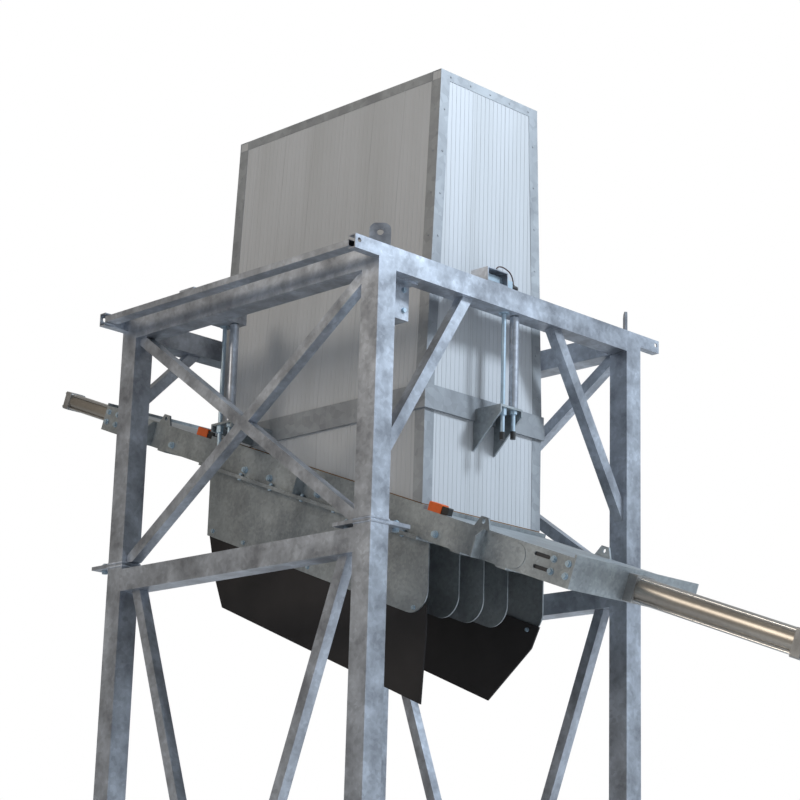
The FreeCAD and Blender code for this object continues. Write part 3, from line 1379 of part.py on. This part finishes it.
os.makedirs("parts", exist_ok=True)
for label, obj in nodes.items():
    obj.Shape.exportStep("parts/%s.step" % label)
print("moved along Y by", round(-middle, 3))
print(len(nodes), "nodes", sum(len(obj.Shape.Solids) for obj in nodes.values()), "solids")
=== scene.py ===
"""Weigh hopper in its support frame: camera, finishes, ribs, rivets, welds, leads and light."""
import json
import math
import bpy
from mathutils import Matrix, Vector


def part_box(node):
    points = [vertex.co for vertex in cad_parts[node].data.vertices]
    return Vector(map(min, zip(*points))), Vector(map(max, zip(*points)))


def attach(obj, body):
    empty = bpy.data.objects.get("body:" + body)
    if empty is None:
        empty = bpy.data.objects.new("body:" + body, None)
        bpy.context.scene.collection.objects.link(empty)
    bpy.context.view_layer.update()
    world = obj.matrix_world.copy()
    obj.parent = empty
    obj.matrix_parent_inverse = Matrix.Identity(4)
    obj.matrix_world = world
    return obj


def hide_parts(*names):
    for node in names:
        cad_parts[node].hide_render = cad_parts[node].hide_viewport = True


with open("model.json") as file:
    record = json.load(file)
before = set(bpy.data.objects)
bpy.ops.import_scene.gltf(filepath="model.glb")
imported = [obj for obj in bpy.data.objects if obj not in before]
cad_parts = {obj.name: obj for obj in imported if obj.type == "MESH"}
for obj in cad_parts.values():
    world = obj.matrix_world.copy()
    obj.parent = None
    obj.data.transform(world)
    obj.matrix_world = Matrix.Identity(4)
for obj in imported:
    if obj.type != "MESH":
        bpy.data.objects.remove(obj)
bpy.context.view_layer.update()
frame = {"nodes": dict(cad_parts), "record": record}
nodes = frame["nodes"]

# ---------------------------------------------------------------- camera, first
beams_low, beams_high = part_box("top_cross_beams")
CENTRE_Y = (beams_low[1] + beams_high[1]) / 2          # the support frame's plan centre
EYE = Vector((-6.514, -6.743 + CENTRE_Y, 0.114))
HEADING, RAISE, ROLL = (math.radians(a) for a in (45.34, 14.91, 1.64))
ahead = Vector((math.cos(RAISE) * math.cos(HEADING), math.cos(RAISE) * math.sin(HEADING),
                math.sin(RAISE)))
sideways = Vector((math.sin(HEADING), -math.cos(HEADING), 0))
upright = sideways.cross(ahead)
across = sideways * math.cos(ROLL) + upright * math.sin(ROLL)
overhead = upright * math.cos(ROLL) - sideways * math.sin(ROLL)
lens = bpy.data.cameras.new("camera")
lens.lens = 94.8
lens.sensor_width = 36
lens.shift_x = -0.0031
lens.shift_y = 0.0140
camera = bpy.data.objects.new("camera", lens)
turn = Matrix((across, overhead, -ahead)).transposed().to_4x4()
camera.matrix_world = Matrix.Translation(EYE) @ turn
bpy.context.scene.collection.objects.link(camera)
bpy.context.scene.camera = camera
bpy.context.scene.view_settings.view_transform = "Standard"


# ---------------------------------------------------------------- finishes
def finish_base(name, colour, rough, metal=0.0):
    mat = bpy.data.materials.new(name)
    mat.use_nodes = True
    shader = mat.node_tree.nodes["Principled BSDF"]
    shader.inputs["Base Color"].default_value = (*colour, 1)
    shader.inputs["Roughness"].default_value = rough
    shader.inputs["Metallic"].default_value = metal
    return mat, mat.node_tree, shader


def add(tree, kind, **values):
    node = tree.nodes.new(kind)
    for key, value in values.items():
        if hasattr(node, key):
            setattr(node, key, value)
        else:
            node.inputs[key].default_value = value
    return node


def object_space(tree, scale=(1, 1, 1)):
    coords = tree.nodes.new("ShaderNodeTexCoord")
    mapping = tree.nodes.new("ShaderNodeMapping")
    mapping.inputs["Scale"].default_value = scale
    tree.links.new(coords.outputs["Object"], mapping.inputs["Vector"])
    return mapping.outputs["Vector"]


def ramp(tree, source, stops):
    """Colours by factor: stops of (place, colour)."""
    node = tree.nodes.new("ShaderNodeValToRGB")
    while len(node.color_ramp.elements) < len(stops):
        node.color_ramp.elements.new(0.5)
    for element, (place, colour) in zip(node.color_ramp.elements, stops):
        element.position = place
        element.color = (*colour, 1)
    tree.links.new(source, node.inputs["Fac"])
    return node.outputs["Color"]


# sockets of the Mix node once it works on colours
MIX_SHARE, MIX_FIRST, MIX_SECOND, MIX_RESULT = 0, 6, 7, 2


def darken(tree, share, tone, shade):
    """Multiply a tone, a colour or a socket, by a grey pattern at a share of its strength."""
    mix = tree.nodes.new("ShaderNodeMix")
    mix.data_type = "RGBA"
    mix.blend_type = "MULTIPLY"
    mix.inputs[MIX_SHARE].default_value = share
    if isinstance(tone, tuple):
        mix.inputs[MIX_FIRST].default_value = (*tone, 1)
    else:
        tree.links.new(tone, mix.inputs[MIX_FIRST])
    tree.links.new(shade, mix.inputs[MIX_SECOND])
    return mix.outputs[MIX_RESULT]


def bump(tree, shader, height, strength, distance):
    node = tree.nodes.new("ShaderNodeBump")
    node.inputs["Strength"].default_value = strength
    node.inputs["Distance"].default_value = distance
    tree.links.new(height, node.inputs["Height"])
    tree.links.new(node.outputs["Normal"], shader.inputs["Normal"])


def galvanised(name, light, dark, rough, metal, spangle=55.0):
    """Hot-dip zinc: crystal spangle, cloudy patches, runs down the steel and bright flecks."""
    mat, tree, shader = finish_base(name, light, rough, metal)
    space = object_space(tree)
    cells = add(tree, "ShaderNodeTexVoronoi", Scale=spangle)
    clouds = add(tree, "ShaderNodeTexNoise", Scale=6.5, Detail=6.0, Roughness=0.62)
    runs = add(tree, "ShaderNodeTexNoise", Scale=9.0, Detail=4.0)
    tree.links.new(space, cells.inputs["Vector"])
    tree.links.new(space, clouds.inputs["Vector"])
    tree.links.new(object_space(tree, (1, 1, 0.12)), runs.inputs["Vector"])
    tone = ramp(tree, clouds.outputs["Fac"], [(0.32, dark), (0.68, light)])
    crystal = ramp(tree, cells.outputs["Color"], [(0.15, (0.72, 0.72, 0.72)), (0.85, (1, 1, 1))])
    tone = darken(tree, 0.65, tone, crystal)
    streak = ramp(tree, runs.outputs["Fac"], [(0.40, (0.78, 0.78, 0.79)), (0.62, (1, 1, 1))])
    tone = darken(tree, 0.7, tone, streak)
    tree.links.new(tone, shader.inputs["Base Color"])
    shine = add(tree, "ShaderNodeMapRange")
    shine.inputs["To Min"].default_value = rough - 0.12
    shine.inputs["To Max"].default_value = rough + 0.16
    tree.links.new(clouds.outputs["Fac"], shine.inputs["Value"])
    tree.links.new(shine.outputs["Result"], shader.inputs["Roughness"])
    bump(tree, shader, runs.outputs["Fac"], 0.15, 0.002)
    return mat


def speckled(name, colour, rough, metal=0.0, scale=60.0, depth=0.1, spread=0.2):
    """Even finish with fine grain and slow variation."""
    mat, tree, shader = finish_base(name, colour, rough, metal)
    grain = add(tree, "ShaderNodeTexNoise", Scale=scale, Detail=5.0)
    slow = add(tree, "ShaderNodeTexNoise", Scale=scale / 14, Detail=3.0)
    space = object_space(tree)
    tree.links.new(space, grain.inputs["Vector"])
    tree.links.new(space, slow.inputs["Vector"])
    low = tuple(c * (1 - spread) for c in colour)
    high = tuple(min(1, c * (1 + spread)) for c in colour)
    tone = ramp(tree, slow.outputs["Fac"], [(0.35, low), (0.65, high)])
    fine = ramp(tree, grain.outputs["Fac"], [(0.3, (0.86, 0.86, 0.86)), (0.7, (1, 1, 1))])
    tree.links.new(darken(tree, 0.8, tone, fine), shader.inputs["Base Color"])
    bump(tree, shader, grain.outputs["Fac"], depth, 0.001)
    return mat


BOARD = 0.2                                  # width of one cladding board
JOINT_END, JOINT_FADE = 0.018, 0.026         # shares of a board that its dark joint takes
JOINT_TONE = (0.88, 0.88, 0.88)


def cladding_finish(name, colour):
    """Coated sheet with a dark joint between boards and faint dust runs."""
    mat, tree, shader = finish_base(name, colour, 0.45, 0.1)
    space = object_space(tree)
    split = tree.nodes.new("ShaderNodeSeparateXYZ")
    tree.links.new(space, split.inputs[0])
    across_face = add(tree, "ShaderNodeMath", operation="ADD")
    tree.links.new(split.outputs["X"], across_face.inputs[0])
    tree.links.new(split.outputs["Y"], across_face.inputs[1])
    boards = add(tree, "ShaderNodeMath", operation="DIVIDE")
    tree.links.new(across_face.outputs[0], boards.inputs[0])
    boards.inputs[1].default_value = BOARD
    place = add(tree, "ShaderNodeMath", operation="FRACT")
    tree.links.new(boards.outputs[0], place.inputs[0])
    joint = ramp(tree, place.outputs[0], [(0.0, JOINT_TONE), (JOINT_END, JOINT_TONE),
                                          (JOINT_FADE, (1, 1, 1))])
    runs = add(tree, "ShaderNodeTexNoise", Scale=7.0, Detail=5.0)
    tree.links.new(object_space(tree, (1, 1, 0.1)), runs.inputs["Vector"])
    dust = ramp(tree, runs.outputs["Fac"], [(0.35, (0.9, 0.9, 0.89)), (0.65, (1, 1, 1))])
    tone = darken(tree, 1.0, colour, dust)
    tone = darken(tree, 1.0, tone, joint)
    tree.links.new(tone, shader.inputs["Base Color"])
    bump(tree, shader, runs.outputs["Fac"], 0.05, 0.002)
    return mat


FINISHES = {
    "galvanised": galvanised("galvanised", (0.63, 0.68, 0.76), (0.31, 0.33, 0.37), 0.34, 0.72),
    "cladding": cladding_finish("cladding", (0.50, 0.52, 0.55)),
    "trim": galvanised("trim", (0.36, 0.385, 0.41), (0.30, 0.32, 0.345), 0.45, 0.3, 30.0),
    "zinc": speckled("zinc", (0.42, 0.53, 0.62), 0.38, 0.6, 90.0),
    "gate_steel": galvanised("gate_steel", (0.46, 0.50, 0.52), (0.30, 0.33, 0.35), 0.38, 0.65,
                             80.0),
    "skirt_rubber": speckled("skirt_rubber", (0.011, 0.009, 0.010), 0.68, 0.0, 120.0, 0.3),
    "sealant": speckled("sealant", (0.24, 0.13, 0.06), 0.7, 0.0, 200.0, 0.5),
    "guide_plastic": speckled("guide_plastic", (0.04, 0.04, 0.045), 0.45),
    "sensor_orange": speckled("sensor_orange", (0.72, 0.12, 0.015), 0.4, 0.0, 300.0, 0.05, 0.06),
    "black_plastic": speckled("black_plastic", (0.018, 0.018, 0.018), 0.42, 0.0, 250.0),
    "lead_jacket": speckled("lead_jacket", (0.06, 0.022, 0.015), 0.5, 0.0, 300.0),
    "barrel": speckled("barrel", (0.42, 0.39, 0.35), 0.32, 0.85, 40.0, 0.05, 0.1),
    "head_cast": speckled("head_cast", (0.38, 0.38, 0.38), 0.45, 0.8, 160.0, 0.25),
    "bright_rod": speckled("bright_rod", (0.65, 0.65, 0.65), 0.18, 1.0, 200.0, 0.03, 0.05),
    "blade_steel": speckled("blade_steel", (0.4, 0.4, 0.41), 0.35, 0.9, 70.0),
}
for entry in frame["record"]["subparts"]:
    target = nodes[entry["node"]]
    target.data.materials.clear()
    target.data.materials.append(FINISHES[entry["material_slot"]])
# the sleeves are plain pipe, dipped with the frame
nodes["sleeve_pipes"].data.materials.clear()
nodes["sleeve_pipes"].data.materials.append(FINISHES["galvanised"])


# ---------------------------------------------------------------- making pieces
def clear():
    bpy.ops.object.select_all(action="DESELECT")


def settle(piece):
    """Put a piece's place into its mesh."""
    clear()
    piece.select_set(True)
    bpy.context.view_layer.objects.active = piece
    bpy.ops.object.transform_apply(location=True, rotation=True, scale=True)


def bevelled_bar(size, width):
    """Bar with softened edges, ready to be copied."""
    clear()
    bpy.ops.mesh.primitive_cube_add(size=1, location=(0, 0, 0))
    bar = bpy.context.object
    bar.scale = size
    settle(bar)
    edges = bar.modifiers.new("edges", "BEVEL")
    edges.width = width
    edges.segments = 1
    bpy.ops.object.modifier_apply(modifier="edges")
    return bar


def repeat(pattern, places):
    """Copy a pattern piece to matrices, each copy with its own mesh, and return the copies."""
    copies = []
    for place in places:
        twin = pattern.copy()
        twin.data = pattern.data.copy()
        bpy.context.scene.collection.objects.link(twin)
        twin.matrix_world = place
        copies.append(twin)
    return copies


def gather(name, slot, members):
    """Join members into one piece at the origin and hang it on the frame."""
    bpy.context.view_layer.update()
    clear()
    for member in members:
        member.select_set(True)
    bpy.context.view_layer.objects.active = members[0]
    bpy.ops.object.join()
    piece = bpy.context.object
    bpy.ops.object.transform_apply(location=True, rotation=True, scale=True)
    piece.name = name
    piece.data.name = name
    piece.data.materials.clear()
    piece.data.materials.append(FINISHES[slot])
    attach(piece, "frame")
    return piece


def discard(piece):
    bpy.data.objects.remove(piece, do_unlink=True)


# ---------------------------------------------------------------- cladding ribs
RIB_PITCH, RIB_WIDE, RIB_PROUD = 0.027, 0.007, 0.0010
RIB_EDGE = RIB_PROUD * 0.6       # softening of a rib's edges
TRIM_COVER = 0.054               # how far the corner trims reach over the panels
RIM_INSET = 0.004                # the panels at the crown, in from the rim trim's widest point
RIB_STEP = 0.01                  # step in which a rib is cut back under a leaning trim
SHORTEST_RIB = 0.05
FOOT_GAP = 0.004                 # from the lower panels' foot to their ribs
LEAST_ROOM = 0.03                # a lower rib shorter than this is left out


def rib_between(foot, head, flat_along):
    """Bar from foot to head; flat_along tells which way its width lies."""
    rise = head - foot
    rib = bevelled_bar((RIB_WIDE, RIB_PROUD * 2, rise.length), RIB_EDGE)
    up = rise.normalized()
    out = flat_along.cross(up).normalized()
    basis = Matrix((flat_along, -out, up)).transposed().to_4x4()
    rib.matrix_world = Matrix.Translation((foot + head) / 2) @ basis
    return rib


end_low, end_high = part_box("upper_end_panels")
rim_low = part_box("top_trim")[0][2]
base_half, base_level = end_high[0], end_low[2]
crown_level = end_high[2]
rim_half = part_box("top_trim")[1][0] - RIM_INSET


def half_width(z):
    """Half the hopper's width in x at a level, along its taper."""
    return base_half + (rim_half - base_half) * (z - base_level) / (crown_level - base_level)


ribs = []
count = int(base_half / RIB_PITCH)
for y, facing in ((end_low[1], -1), (end_high[1], 1)):
    for k in range(-count, count + 1):
        x = k * RIB_PITCH
        room = rim_low
        while room > base_level and abs(x) > half_width(room) - TRIM_COVER:
            room -= RIB_STEP
        if room - base_level > SHORTEST_RIB:
            ribs.append(rib_between(Vector((x, y, base_level)), Vector((x, y, room)),
                                    Vector((1, 0, 0))))
gather("end_panel_ribs", "cladding", ribs)

ribs = []
start, stop = end_low[1] + TRIM_COVER, end_high[1] - TRIM_COVER
steps = int((stop - start) / RIB_PITCH)
for side in (-1, 1):
    for k in range(steps + 1):
        y = start + (stop - start) * k / steps
        ribs.append(rib_between(Vector((side * base_half, y, base_level)),
                                Vector((side * half_width(rim_low), y, rim_low)),
                                Vector((0, 1, 0))))
gather("side_panel_ribs", "cladding", ribs)

front_low, front_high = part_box("lower_front_panel")
wall_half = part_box("lower_side_panels")[1][0]
SLOPE = math.radians(20.3)       # of the gate, and so of the panels' foot
ribs = []
for k in range(-count, count + 1):
    x = k * RIB_PITCH
    if abs(x) < front_high[0] - TRIM_COVER:
        ribs.append(rib_between(Vector((x, front_low[1], front_low[2] + FOOT_GAP)),
                                Vector((x, front_low[1], front_high[2])), Vector((1, 0, 0))))
for side in (-1, 1):
    y = front_low[1] + TRIM_COVER
    while True:
        foot = front_low[2] + math.tan(SLOPE) * (y - front_low[1]) + FOOT_GAP
        if foot > front_high[2] - LEAST_ROOM:
            break
        ribs.append(rib_between(Vector((side * wall_half, y, foot)),
                                Vector((side * wall_half, y, front_high[2])),
                                Vector((0, 1, 0))))
        y += RIB_PITCH
gather("lower_panel_ribs", "cladding", ribs)

# ---------------------------------------------------------------- rivets on the trims
def bead(rings, shape):
    """Small round head pressed to a shape, ready to be copied."""
    clear()
    bpy.ops.mesh.primitive_uv_sphere_add(segments=8, ring_count=rings, radius=0.0055)
    head = bpy.context.object
    head.scale = shape
    settle(head)
    return head


RIVET_OUT = 0.002                # a rivet's middle, out from the panel's face
RIVET_PITCH = 0.2                # up the corner trims
RIVET_FOOT, RIVET_HEAD = 0.08, 0.04          # room left below the first and above the last
END_INSET, SIDE_INSET = 0.03, 0.026          # in from the hopper's corner on either face
RIM_PITCH, RIM_UP = 0.13, 0.02               # along the rim trim, and up from its foot


def rivet_levels():
    """Heights of the rivets up a corner trim."""
    z = base_level + RIVET_FOOT
    while z < rim_low - RIVET_HEAD:
        yield z
        z += RIVET_PITCH


rivet = bead(6, (1, 1, 0.55))
places = []
face_end = Matrix.Rotation(math.pi / 2, 4, "X")
for y in (end_low[1] - RIVET_OUT, end_high[1] + RIVET_OUT):
    for side in (-1, 1):
        for z in rivet_levels():
            x = side * (half_width(z) - END_INSET)
            places.append(Matrix.Translation((x, y, z)) @ face_end)
    for k in range(-2, 3):
        places.append(Matrix.Translation((k * RIM_PITCH, y, rim_low + RIM_UP)) @ face_end)
lean = math.atan2(base_half - rim_half, crown_level - base_level)
for side in (-1, 1):
    for y in (end_low[1] + SIDE_INSET, end_high[1] - SIDE_INSET):
        for z in rivet_levels():
            places.append(Matrix.Translation((side * (half_width(z) + RIVET_OUT), y, z))
                          @ Matrix.Rotation(math.pi / 2 - lean * side, 4, "Y"))
gather("trim_rivets", "trim", repeat(rivet, places))
discard(rivet)

# ---------------------------------------------------------------- welds
RIPPLE_PITCH = 0.006
HALF_COLUMN = 0.05               # half the columns' square tube
ripple = bead(5, (0.8, 1, 1))


def weld_round(centre, half, z):
    """Ripples of a fillet weld round a square tube that stands on a plate."""
    spots = []
    for quarter in range(4):
        turn = Matrix.Rotation(quarter * math.pi / 2, 4, "Z")
        for k in range(int(2 * half / RIPPLE_PITCH) + 1):
            spot = Matrix.Translation((-half + k * RIPPLE_PITCH, -half, 0))
            spots.append(Matrix.Translation((centre[0], centre[1], z)) @ turn @ spot)
    return spots


column_low, column_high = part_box("lower_columns")
flange_low, flange_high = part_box("flange_plates")
seams = []
for sx in (-1, 1):
    for sy in (-1, 1):
        centre = (sx * (column_high[0] - HALF_COLUMN),
                  CENTRE_Y + sy * ((column_high[1] - column_low[1]) / 2 - HALF_COLUMN))
        for level in (column_low[2], flange_low[2], flange_high[2]):
            seams += weld_round(centre, HALF_COLUMN, level)
gather("column_welds", "galvanised", repeat(ripple, seams))
discard(ripple)

# ---------------------------------------------------------------- load cell leads
HALF_GRIP, COLLAR_OFF = 0.048, 0.040         # half a cell's grip, and its middle to the collar
OUTLET_OFF = 0.026                           # cell's outer end to the elbow gland's outlet
CELL_PAST_ROD = 0.030                        # rod to the cell's outer end
COLLAR_TOP, OUTLET_TOP = 0.075, 0.043        # heights over the beam
LONG_LEAD = 0.12                             # past this span the loop has one more point


def lead_route(rod, turned, reach):
    """Control points up out of the housing's collar, over, and down into the elbow gland."""
    x0, x1 = -reach + HALF_GRIP + COLLAR_OFF, CELL_PAST_ROD + OUTLET_OFF
    z0, z1 = COLLAR_TOP, OUTLET_TOP
    local = [(x0, 0, z0), (x0 + 0.003, 0, z0 + 0.018), (x0 + 0.017, -0.003, z0 + 0.029),
             (x0 + 0.042, -0.005, z0 + 0.031)]
    if x1 - x0 > LONG_LEAD:
        local.append(((x0 + x1) / 2 + 0.005, -0.006, z0 + 0.029))
    local += [(x1 - 0.032, -0.005, z0 + 0.021), (x1 - 0.012, -0.003, z0 + 0.004),
              (x1 - 0.002, -0.001, z1 + 0.018), (x1, 0, z1)]
    points = []
    for x, y, z in local:
        if turned:
            x, y = -x, -y
        points.append(Vector((rod[0] + x, rod[1] + y, rod[2] + z)))
    return points


beam_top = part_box("top_side_beams")[1][2]
# place, rod's x and y, whether the cell faces the other way, its reach inward, lead's length
LEADS = (("front", -0.034, -0.8, False, 0.146, 0.166),
         ("left", -0.607, 0.406, False, 0.220, 0.239),
         ("right", 0.607, 0.338, True, 0.220, 0.239))
for place, rod_x, rod_y, turned, reach, length in LEADS:
    points = lead_route((rod_x, rod_y + CENTRE_Y, beam_top), turned, reach)
    data = bpy.data.curves.new("lead_" + place, "CURVE")
    data.dimensions = "3D"
    spline = data.splines.new("NURBS")
    spline.points.add(len(points) - 1)
    for spot, point in zip(spline.points, points):
        spot.co = (*point, 1)
    spline.order_u = 3
    spline.use_endpoint_u = True
    spline.resolution_u = 12
    data.bevel_depth = 0.003
    data.bevel_resolution = 4
    data.use_fill_caps = True
    lead = bpy.data.objects.new("lead_" + place, data)
    bpy.context.scene.collection.objects.link(lead)
    data.materials.append(FINISHES["lead_jacket"])
    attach(lead, "frame")
    if place == "front":
        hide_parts("load_cell_leads")

# ---------------------------------------------------------------- floor and light
FLOOR_SIZE, FLOOR_DROP = 60, 0.002           # the drop keeps it clear of the base plates
clear()
bpy.ops.mesh.primitive_plane_add(size=FLOOR_SIZE, location=(0, 0, -FLOOR_DROP))
floor = bpy.context.object
floor.name = "floor"
ground, _, _ = finish_base("floor", (0.8, 0.8, 0.8), 0.8)
floor.data.materials.append(ground)

SKY_STRENGTH = 0.62
SKY_SPREAD = 1.2                 # reach of the warm-to-cool slant across the sky
world = bpy.data.worlds.new("world")
bpy.context.scene.world = world
world.use_nodes = True
tree = world.node_tree
sky = tree.nodes["Background"]
sky.inputs["Strength"].default_value = SKY_STRENGTH
coords = add(tree, "ShaderNodeTexCoord")
split = add(tree, "ShaderNodeSeparateXYZ")
tree.links.new(coords.outputs["Generated"], split.inputs[0])
slant = add(tree, "ShaderNodeMath", operation="SUBTRACT")
tree.links.new(split.outputs["X"], slant.inputs[0])
tree.links.new(split.outputs["Y"], slant.inputs[1])
spread = add(tree, "ShaderNodeMapRange")
spread.inputs["From Min"].default_value = -SKY_SPREAD
spread.inputs["From Max"].default_value = SKY_SPREAD
tree.links.new(slant.outputs[0], spread.inputs["Value"])
tree.links.new(ramp(tree, spread.outputs["Result"],
                    [(0.15, (0.40, 0.37, 0.33)), (0.45, (0.62, 0.62, 0.62)),
                     (0.85, (0.80, 0.90, 1.0))]), sky.inputs["Color"])
# a plain white backdrop seen behind the object, whatever colour lights it
plain = add(tree, "ShaderNodeBackground", Strength=1.0)
plain.inputs["Color"].default_value = (1, 1, 1, 1)
rays = add(tree, "ShaderNodeLightPath")
choose = add(tree, "ShaderNodeMixShader")
tree.links.new(rays.outputs["Is Camera Ray"], choose.inputs[0])
tree.links.new(sky.outputs[0], choose.inputs[1])
tree.links.new(plain.outputs[0], choose.inputs[2])
tree.links.new(choose.outputs[0], tree.nodes["World Output"].inputs["Surface"])


def lamp(name, where, aim, power, size, colour):
    data = bpy.data.lights.new(name, "AREA")
    data.energy = power
    data.size = size
    data.color = colour
    obj = bpy.data.objects.new(name, data)
    obj.location = where
    way = Vector(aim) - Vector(where)
    obj.rotation_euler = way.to_track_quat("-Z", "Y").to_euler()
    bpy.context.scene.collection.objects.link(obj)


lamp("key", where=(3.5, -8.0, 9.0), aim=(0, 0, 2.6), power=1080, size=2.0,
     colour=(0.80, 0.90, 1.0))
lamp("side", where=(-8.0, 2.0, 6.0), aim=(0, 0, 2.4), power=190, size=3.0,
     colour=(1.0, 0.90, 0.78))
